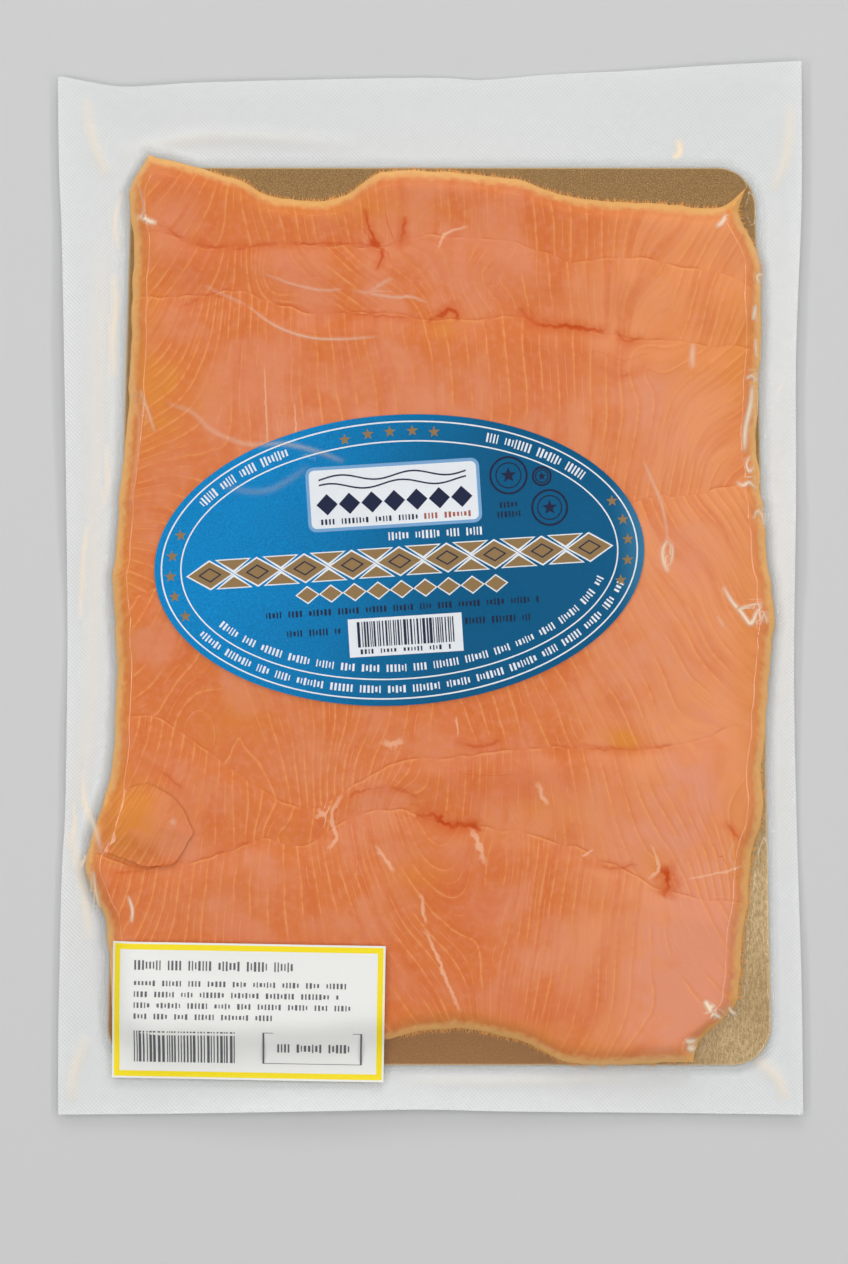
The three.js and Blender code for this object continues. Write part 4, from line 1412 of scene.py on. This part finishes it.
LABEL_STARS = [
    (-12.7, 33.5), (-6.4, 34.6), (-0.4, 34.9), (5.7, 34.8), (11.6, 34.1),
    (-58.8, 10.4), (-61.4, 4.9), (-62.2, -0.6), (-61.4, -6.1), (-58.8, -11.6),
    (58.6, 12.4), (61.2, 7.2), (62.2, 1.8), (61.8, -3.8), (59.6, -9.2),
]
PANEL_CENTRE = (-0.4, 17.7)
PANEL_HALF = (23.6, 8.8)
PANEL_BORDER = 0.9
CODE_BOX = (-15.0, 15.9, -25.6, -15.2)
BAND_COUNT = 9
BAND_FIRST = (-51.5, -0.9)
BAND_STEP = (12.9, 0.15)
WEDGE_BASE = 3.7
WEDGE_TIP = 0.9
WEDGE_REACH = 4.2
SMALL_ROW_START = (-25.4, -7.9)
SMALL_ROW_STEP = 6.4
# Rows of marks along the oval: how far in, the angle where a row starts, whether it runs clockwise,
# its length and height. Straight rows: left end, how far up, length and height.
OVAL_ROWS = [(4.5, 148, True, 29, 2.5), (4.5, 65.5, True, 30, 2.5), (4.5, 208, False, 127, 2.0),
             (10.2, 209, False, 114, 2.0)]
NAVY_ROWS = [(28.2, 13.2, 5.2, 1.6), (27.4, 10.6, 6.6, 1.6), (-37, -12.9, 74, 1.7), (-31.6, -18.2, 15, 1.8),
             (16.8, -17.6, 17.6, 1.8), (-20.5, 11.5, 27, 1.5)]
NAVY_RINGS = [((31, 21.1), 5.2), ((40, 20.3), 2.7), ((41.6, 11.7), 5.0)]


def ticks(ink, place, length, height, draw, word=(4, 9), advance=1.5):
    """Small upright marks in groups. place gives the middle and direction at a distance along."""
    at = 0.0
    while at < length:
        for _ in range(draw.integers(*word)):
            width = draw.uniform(0.3, 0.65)
            if at + width > length:
                return
            (a, b), (da, db) = place(at + width / 2)
            half = height / 2 * draw.choice([1.0, 1.0, 0.72])
            corners = ((-width / 2, -half), (width / 2, -half), (width / 2, half), (-width / 2, half))
            ink.patch([(a + da * s - db * t, b + db * s + da * t) for s, t in corners])
            at += width + 0.5
        at += advance


def straight(a, b):
    return lambda at: ((a + at, b), (1.0, 0.0))


def label_radii(inset):
    """Radii of an oval that far inside the label's edge."""
    return (LABEL_RADII[0] - inset, LABEL_RADII[1] - inset)


def along_oval(radii, start, clockwise):
    """Places along an oval from an angle on."""
    steps = np.linspace(0, 2 * math.pi, 1441)
    angles = math.radians(start) + (-steps if clockwise else steps)
    a, b = radii[0] * np.cos(angles), radii[1] * np.sin(angles)
    lengths = np.concatenate([[0], np.cumsum(np.hypot(np.diff(a), np.diff(b)))])

    def place(at):
        here = [np.interp(at, lengths, values) for values in (a, b)]
        there = [np.interp(at + 0.05, lengths, values) for values in (a, b)]
        step = math.hypot(there[0] - here[0], there[1] - here[1])
        return tuple(here), ((there[0] - here[0]) / step, (there[1] - here[1]) / step)
    return place


def label_finish(look):
    finish = Finish("label blue")
    across, up = finish.level("across"), finish.level("up")
    clouds = finish.times(finish.noise(22, 1.0), 0.3)
    slope = finish.sum("MULTIPLY_ADD", up, -0.2, finish.sum("ADD", across, clouds))
    colour = finish.wash(look.azure, [
        (slope, -0.6, 0.55, 0, 1, look.blue),
        (finish.noise(0.4, 3.0), 0.3, 0.7, 0, 0.4, srgb(0, 78, 120)),
        (across, 0.86, 1.0, 0, 0.35, srgb(90, 160, 195)),
    ])
    colour = finish.mix(finish.between(finish.level("depth"), 0.4, 0.6), look.white, colour)
    return finish.principled(colour, 0.45, Specular_IOR_Level=0.1)


class SALMON_OT_label(Operator):
    """Makes the printed oval label that lies on the fish"""
    bl_idname = "salmon_pack.label"
    bl_label = "Oval Label"

    def execute(self, context):
        look = context.scene.salmon_pack.label
        across, up = crowded(2 * LABEL_RADII[0], 1.2), crowded(2 * LABEL_RADII[1], 1.2)
        x, y = oval_grid(LABEL_CENTRE, LABEL_RADII, LABEL_TURN, across, up)
        a, b = unturned(x, y, LABEL_CENTRE, LABEL_TURN)
        top = label_top(x, y)
        levels = {"across": a / LABEL_RADII[0], "up": b / LABEL_RADII[1], "depth": np.ones(x.shape)}
        piece = slab("oval_label_sheet", x, y, top, top - LABEL_THICKNESS, levels)
        depth = piece.data.attributes["depth"].data
        depth.foreach_set("value", np.repeat([1.0, 0.0], x.size).astype(np.float32))
        place_piece(piece, label_finish(look), "label", "oval_label")

        def ink(lift=0.0):
            return Inks(label_top, LABEL_CENTRE, LABEL_TURN, lift)

        self.white_print(ink(), look)
        self.gold_print(ink(0.02), look)
        self.navy_print(ink(0.04), look)
        brick = ink(0.04)
        ticks(brick, straight(7.5, 11.5), 13, 1.6, np.random.default_rng(34))
        brick.piece("label_brick_print", ink_finish("brick ink", look.brick), "label")
        border, panel = ink(), ink(0.02)
        border.patch(rounded_outline(PANEL_CENTRE, PANEL_HALF, 2.2), 8)
        border.piece("label_panel_border", ink_finish("pale blue ink", look.pale), "label")
        panel.patch(rounded_outline(PANEL_CENTRE, [side - PANEL_BORDER for side in PANEL_HALF], 1.4), 8)
        panel.piece("label_panel", bpy.data.materials["white ink"], "label")
        return {"FINISHED"}

    @staticmethod
    def white_print(ink, look):
        draw = np.random.default_rng(31)
        for inset, width in ((1.7, 0.4), (7.0, 0.38)):
            ink.ring((0, 0), label_radii(inset), width, 220)
        for inset, start, clockwise, length, height in OVAL_ROWS:
            ticks(ink, along_oval(label_radii(inset), start, clockwise), length, height, draw)
        ticks(ink, straight(-2.5, 6.6), 27, 2.2, draw)
        ink.bar(*CODE_BOX)
        band(ink, (6.5, 4.1), 0.5, (3.3, 2.5))
        ink.piece("label_white_print", ink_finish("white ink", look.white), "label")

    @staticmethod
    def gold_print(ink, look):
        for centre in LABEL_STARS:
            ink.patch(star(centre, 1.65))
        band(ink, (5.8, 3.6), 0.0, (2.8, 2.05))
        ink.piece("label_gold_print", ink_finish("gold ink", look.gold, 0.35, 0.3), "label")

    @staticmethod
    def navy_print(ink, look):
        draw = np.random.default_rng(32)
        for centre, size in NAVY_RINGS:
            ink.ring(centre, (size, size), 0.55)
            ink.ring(centre, (size * 0.68, size * 0.68), 0.3)
            ink.patch(star(centre, size * 0.42))
        for a, b, length, height in NAVY_ROWS:
            ticks(ink, straight(a, b), length, height, draw)
        for n, b in enumerate((23.4, 21.2)):
            at = np.linspace(-20.5, 19.5, 90)
            wave = [b + 0.85 * math.sin(a / 3.1 + n) for a in at]
            ink.strip(list(zip(at, wave)), [(a, w - 0.45) for a, w in zip(at, wave)])
        for n in range(7):
            ink.patch(lozenge((-18.6 + 6.1 * n, 16.2), (2.9, 2.9)))
        for n in range(BAND_COUNT):
            ink.frame(lozenge(frieze(n), (3.2, 2.0)), 0.35)
        left, right, low, high = CODE_BOX
        widths, gaps = [0.25, 0.35, 0.5, 0.75], [0.25, 0.35, 0.5]
        upright_bars(ink, left + 2.4, right - 2.6, low + 2.6, high - 0.9, widths, gaps, draw)
        ticks(ink, straight(left + 3, low + 1.4), 25, 1.3, draw)
        ink.piece("label_navy_print", ink_finish("navy ink", look.navy), "label")


# Corner sticker, outside the film

sticker_a, sticker_b = np.abs(unturned(grid_x, grid_y, STICKER_CENTRE, STICKER_TURN))
sticker_covers = (sticker_a < STICKER_SIZE[0] / 2) & (sticker_b < STICKER_SIZE[1] / 2)
sticker_seat = resting(film_top(grid_x, grid_y), sticker_covers, STICKER_STIFFNESS, 0.02)
sticker_top = on_lattice(sticker_seat + STICKER_THICKNESS)


# Rows of marks on the sticker: how far up, length and height.
STICKER_ROWS = [(12.5, 44, 2.6), (7.6, 60, 1.5), (4.6, 56, 1.5), (1.6, 60, 1.5), (-1.4, 38, 1.5)]


def sticker_finish(look):
    finish = Finish("sticker paper")
    a, b = finish.level("across"), finish.level("up")
    from_side = finish.sum("SUBTRACT", STICKER_SIZE[0] / 2, finish.sum("ABSOLUTE", a))
    from_end = finish.sum("SUBTRACT", STICKER_SIZE[1] / 2, finish.sum("ABSOLUTE", b))
    inside = finish.sum("MINIMUM", from_side, from_end)
    border = finish.times(finish.between(inside, 0.45, 0.6), finish.between(inside, 2.0, 2.15, 1, 0))
    fibre = finish.between(finish.noise(0.4, 4.0), 0.3, 0.8, 0, 0.06)
    colour = finish.mix(fibre, look.paper, srgb(190, 188, 180))
    colour = finish.mix(border, colour, look.border)
    return finish.principled(colour, 0.5, Normal=finish.bump(fibre, 0.02), Specular_IOR_Level=0.4)


class SALMON_OT_sticker(Operator):
    """Makes the sticker on the film in the lower left corner"""
    bl_idname = "salmon_pack.sticker"
    bl_label = "Corner Sticker"

    def execute(self, context):
        look = context.scene.salmon_pack.sticker
        a, b = np.meshgrid(
            (crowded(STICKER_SIZE[0], 1.0) - 0.5) * STICKER_SIZE[0],
            (crowded(STICKER_SIZE[1], 1.0) - 0.5) * STICKER_SIZE[1],
        )
        x, y = turned(a, b, STICKER_CENTRE, STICKER_TURN)
        top = sticker_top(x, y)
        piece = slab("corner_sticker_sheet", x, y, top, top - STICKER_THICKNESS, {"across": a, "up": b})
        place_piece(piece, sticker_finish(look), "sticker", "corner_sticker")
        ink = Inks(sticker_top, STICKER_CENTRE, STICKER_TURN)
        draw = np.random.default_rng(33)
        for row, length, height in STICKER_ROWS:
            ticks(ink, straight(-31, row), length, height, draw)
        low, high = -14.2, -5.4
        upright_bars(ink, -31.0, -3, low, high, [0.3, 0.45, 0.7], [0.3, 0.45, 0.6], draw)
        ink.frame([(4, low), (31, low), (31, high), (4, high)], 0.5)
        ticks(ink, straight(8, -9.8), 20, 2.4, draw)
        ink.piece("sticker_print", ink_finish("grey ink", look.print), "sticker")
        return {"FINISHED"}


# Bag

FILM_COLUMNS = 257
FILM_ROWS = 345
BACK_STEP = 8
CRINKLE_HEIGHT = 0.12
LEAST_HAZE = 0.006
EMBOSS_PITCH = 1.15
# MOST_BRIGHT caps the share of a wrinkle's painted highlight
MOST_BRIGHT = 0.92
LEAST_GLOSS = 0.034


def film_places():
    """The grid of places over the whole bag."""
    across, up = np.meshgrid(np.linspace(0, 1, FILM_COLUMNS), np.linspace(0, 1, FILM_ROWS))
    x, y = lerp(-100.0, 100.0, across), lerp(-140.0, 140.0, up)
    for _ in range(FITTING_ROUNDS):
        x, y = (lerp(bag_left(y), bag_right(y), across), lerp(bag_bottom(x), bag_top(x), up))
    return x, y


def back_faces(front, back_number):
    """The bag's back in coarse faces, whose outer ones share the front's rim points."""
    rows, columns = FILM_ROWS, FILM_COLUMNS
    faces = []
    for j in range(0, rows - 1, BACK_STEP):
        for i in range(0, columns - 1, BACK_STEP):
            right, up = min(i + BACK_STEP, columns - 1), min(j + BACK_STEP, rows - 1)
            low = [(j, n) for n in range(i, right)] if j == 0 else [(j, i)]
            east = [(n, right) for n in range(j, up)] if right == columns - 1 else [(j, right)]
            high = [(up, n) for n in range(right, i, -1)] if up == rows - 1 else [(up, right)]
            west = [(n, i) for n in range(up, j, -1)] if i == 0 else [(up, i)]
            ring = low + east + high + west
            numbers = [front(*at) if front(*at) is not None else back_number(*at) for at in ring]
            faces.append(numbers[::-1])
    return faces


def film_finish(look):
    finish = Finish("clear film")
    haze = finish.level("haze")
    pitch = 2 * math.pi / EMBOSS_PITCH
    waves = [finish.sum("SINE", finish.times(finish.axis(number), pitch)) for number in (0, 1)]
    weave = finish.times(*waves)
    raised = {"Height": weave, "Strength": finish.between(haze, 0.1, 0.6), "Distance": look.emboss}
    normal = finish.add("Bump", raised).outputs[0]
    # Painted highlight along each wrinkle: a warm white diffuse, brightest on its crest, in place of light
    # that the wrinkle would mirror
    gap = finish.level("crease_gap")
    crease = finish.sum("EXPONENT", finish.times(finish.times(gap, gap), -1.0))
    crease = finish.times(crease, finish.level("painted_crease_glint"))
    crease = finish.sum("MINIMUM", finish.times(crease, look.wrinkle_shine), MOST_BRIGHT)
    milk = finish.times(haze, finish.between(weave, -1, 1, 0.97, 1.03))
    milk = finish.times(milk, look.rim_haze)
    clear = finish.add("BsdfTransparent").outputs[0]
    milky = finish.add("BsdfDiffuse", {"Color": (*look.haze, 1), "Normal": normal}).outputs[0]
    bright = finish.add("BsdfDiffuse", {"Color": (*look.painted_glint, 1)}).outputs[0]
    body = finish.add("MixShader", {0: milk, 1: clear, 2: milky}).outputs[0]
    body = finish.add("MixShader", {0: crease, 1: body, 2: bright}).outputs[0]
    gloss = finish.add("BsdfGlossy", {"Roughness": 0.07, "Normal": normal}).outputs[0]
    facing = finish.add("LayerWeight", {"Blend": 0.5}).outputs["Facing"]
    share = finish.sum("MULTIPLY_ADD", finish.sum("POWER", facing, 5.0), 1 - LEAST_GLOSS, LEAST_GLOSS)
    return finish.surface(finish.add("MixShader", {0: share, 1: body, 2: gloss}).outputs[0])


class SALMON_OT_bag(Operator):
    """Makes the sealed bag of clear film round everything"""
    bl_idname = "salmon_pack.bag"
    bl_label = "Film Bag"

    def execute(self, context):
        x, y = film_places()
        outside = -np.maximum(inside_fish(x, y), inside_card(x, y))
        crinkle = CRINKLE_HEIGHT * hill(outside, 0 * outside, (-1.5, 0), (3.5, 1))
        crinkle = crinkle * smooth(np.abs(x), 55, 80) * (1 + unevenness(15, 2.2)(x, y)).clip(0, 2)
        top = film_top(x, y) + crinkle
        rim = rim_lift(x, y)
        haze = lerp(LEAST_HAZE, 1.0, smooth(outside, -0.5, 3.5))
        # How near each point is to a wrinkle, and how bright the wrinkle's painted highlight is there
        gap, painted_shine = nearest_mark(x, y, WRINKLES, 0.4)
        painted_shine = np.where(np.abs(gap) < 3, painted_shine, 0)
        points = np.stack([x, y, top], axis=-1).reshape(-1, 3).tolist()
        named = {"haze": haze, "crease_gap": gap, "painted_crease_glint": painted_shine}
        levels = {name: values.ravel().tolist() for name, values in named.items()}
        at_front = np.arange(x.size).reshape(x.shape)
        numbers = {}

        def front(j, i):
            on_rim = j in (0, FILM_ROWS - 1) or i in (0, FILM_COLUMNS - 1)
            return int(at_front[j, i]) if on_rim else None

        def back(j, i):
            if (j, i) not in numbers:
                numbers[j, i] = len(points)
                points.append((float(x[j, i]), float(y[j, i]), float(rim[j, i])))
                for name, values in levels.items():
                    values.append(1.0 if name == "haze" else 0.0)
            return numbers[j, i]

        faces = grid_faces(*x.shape) + back_faces(front, back)
        piece = add_mesh("film_bag", points, faces, levels, math.radians(60), solid=False)
        place_piece(piece, film_finish(context.scene.salmon_pack.film), "film", "bag")
        return {"FINISHED"}


# Stage: floor, lights and camera

CAMERA_CENTRE = (-0.0018, -0.012)
CAMERA_DISTANCE = 1.2
VIEW_HEIGHT = 0.3448
SENSOR = 36.0
FLOOR_HALF = 3000
FLOOR_LEVEL = -0.4
OVERHEAD_SKY = 0.05
STRIP_REACH = 0.8


def add_light(name, size, power, place, mirrored=True):
    """A soft box aimed at the pack. The film doesn't mirror it unless mirrored."""
    light = bpy.data.lights.new(name, "AREA")
    light.shape = "RECTANGLE"
    light.size, light.size_y = size
    light.energy = power
    lamp = bpy.data.objects.new(name, light)
    lamp.location = place
    lamp.visible_camera = False
    lamp.visible_glossy = mirrored
    lamp.rotation_euler = (Vector() - Vector(place)).to_track_quat("-Z", "Y").to_euler()
    bpy.context.scene.collection.objects.link(lamp)


class SALMON_OT_stage(Operator):
    """Makes the pale floor, the soft light and the camera"""
    bl_idname = "salmon_pack.stage"
    bl_label = "Stage"

    def execute(self, context):
        look = context.scene.salmon_pack.stage
        scene = context.scene
        ways = ((-1, -1), (1, -1), (1, 1), (-1, 1))
        corners = [(a * FLOOR_HALF, b * FLOOR_HALF, FLOOR_LEVEL) for a, b in ways]
        floor = add_mesh("floor", corners, [[0, 1, 2, 3]], solid=False)
        finish = Finish("studio floor")
        mottle = finish.between(finish.noise(3, 3.0), 0.3, 0.7, 0, 0.02)
        colour = finish.mix(mottle, look.floor, srgb(190, 190, 190))
        floor.data.materials.append(finish.principled(colour, 0.8, Specular_IOR_Level=0.2))

        world = bpy.data.worlds.new("even sky")
        world.use_nodes = True
        nodes, links = world.node_tree.nodes, world.node_tree.links
        way = nodes.new("ShaderNodeSeparateXYZ")
        links.new(nodes.new("ShaderNodeTexCoord").outputs["Generated"], way.inputs[0])
        strength = nodes.new("ShaderNodeMapRange")
        strength.interpolation_type = "SMOOTHSTEP"
        links.new(way.outputs[2], strength.inputs["Value"])
        levels = {"From Min": 0.62, "From Max": 0.82, "To Min": look.world, "To Max": OVERHEAD_SKY}
        for socket, value in levels.items():
            strength.inputs[socket].default_value = value
        background = nodes["Background"]
        background.inputs["Color"].default_value = (1, 1, 1, 1)
        links.new(strength.outputs["Result"], background.inputs["Strength"])
        scene.world = world

        add_light("key", (2.0, 1.0), look.key, (0.0, 2.2, 1.1), False)
        add_light("top", (2.0, 2.0), look.top, (0.0, 0.0, 2.0), False)
        for azimuth in (-32, 0, 32, 148, 180, 212):
            angle = math.radians(azimuth)
            place = (STRIP_REACH * math.cos(angle), STRIP_REACH * math.sin(angle), STRIP_REACH)
            add_light(f"side strip {azimuth}", (0.42, 0.09), look.strip, place)
        add_light("far strip", (0.5, 0.03), look.strip * 0.12, (-0.1, STRIP_REACH, STRIP_REACH))

        camera = bpy.data.cameras.new("camera")
        camera.sensor_width = SENSOR
        camera.lens = SENSOR * CAMERA_DISTANCE / VIEW_HEIGHT
        eye = bpy.data.objects.new("camera", camera)
        eye.location = (*CAMERA_CENTRE, CAMERA_DISTANCE)
        scene.collection.objects.link(eye)
        scene.camera = eye
        scene.view_settings.view_transform = "Standard"
        return {"FINISHED"}


OPERATORS = (
    SALMON_OT_card, SALMON_OT_slices, SALMON_OT_flap, SALMON_OT_fringe, SALMON_OT_label, SALMON_OT_sticker,
    SALMON_OT_bag, SALMON_OT_stage,
)
SETTINGS = (
    FishSettings, CardSettings, LabelSettings, FilmSettings, StickerSettings, StageSettings, PackSettings,
)


class SALMON_PT_pack(Panel):
    """Lists the pieces of the pack"""
    bl_idname = "SALMON_PT_pack"
    bl_label = "Salmon Pack"
    bl_space_type = "VIEW_3D"
    bl_region_type = "UI"
    bl_category = "Salmon Pack"

    def draw(self, context):
        for operator in OPERATORS:
            self.layout.operator(operator.bl_idname)
        look = context.scene.salmon_pack
        for group in (look.fish, look.card, look.label, look.film, look.sticker, look.stage):
            box = self.layout.box()
            for setting in group.__annotations__:
                box.prop(group, setting)


def register():
    for kind in SETTINGS + OPERATORS + (SALMON_PT_pack,):
        bpy.utils.register_class(kind)
    bpy.types.Scene.salmon_pack = PointerProperty(type=PackSettings)


def unregister():
    del bpy.types.Scene.salmon_pack
    for kind in reversed(SETTINGS + OPERATORS + (SALMON_PT_pack,)):
        bpy.utils.unregister_class(kind)


def main():
    register()
    for operator in OPERATORS:
        getattr(bpy.ops.salmon_pack, operator.bl_idname.split(".")[1])()


if __name__ == "__main__":
    main()
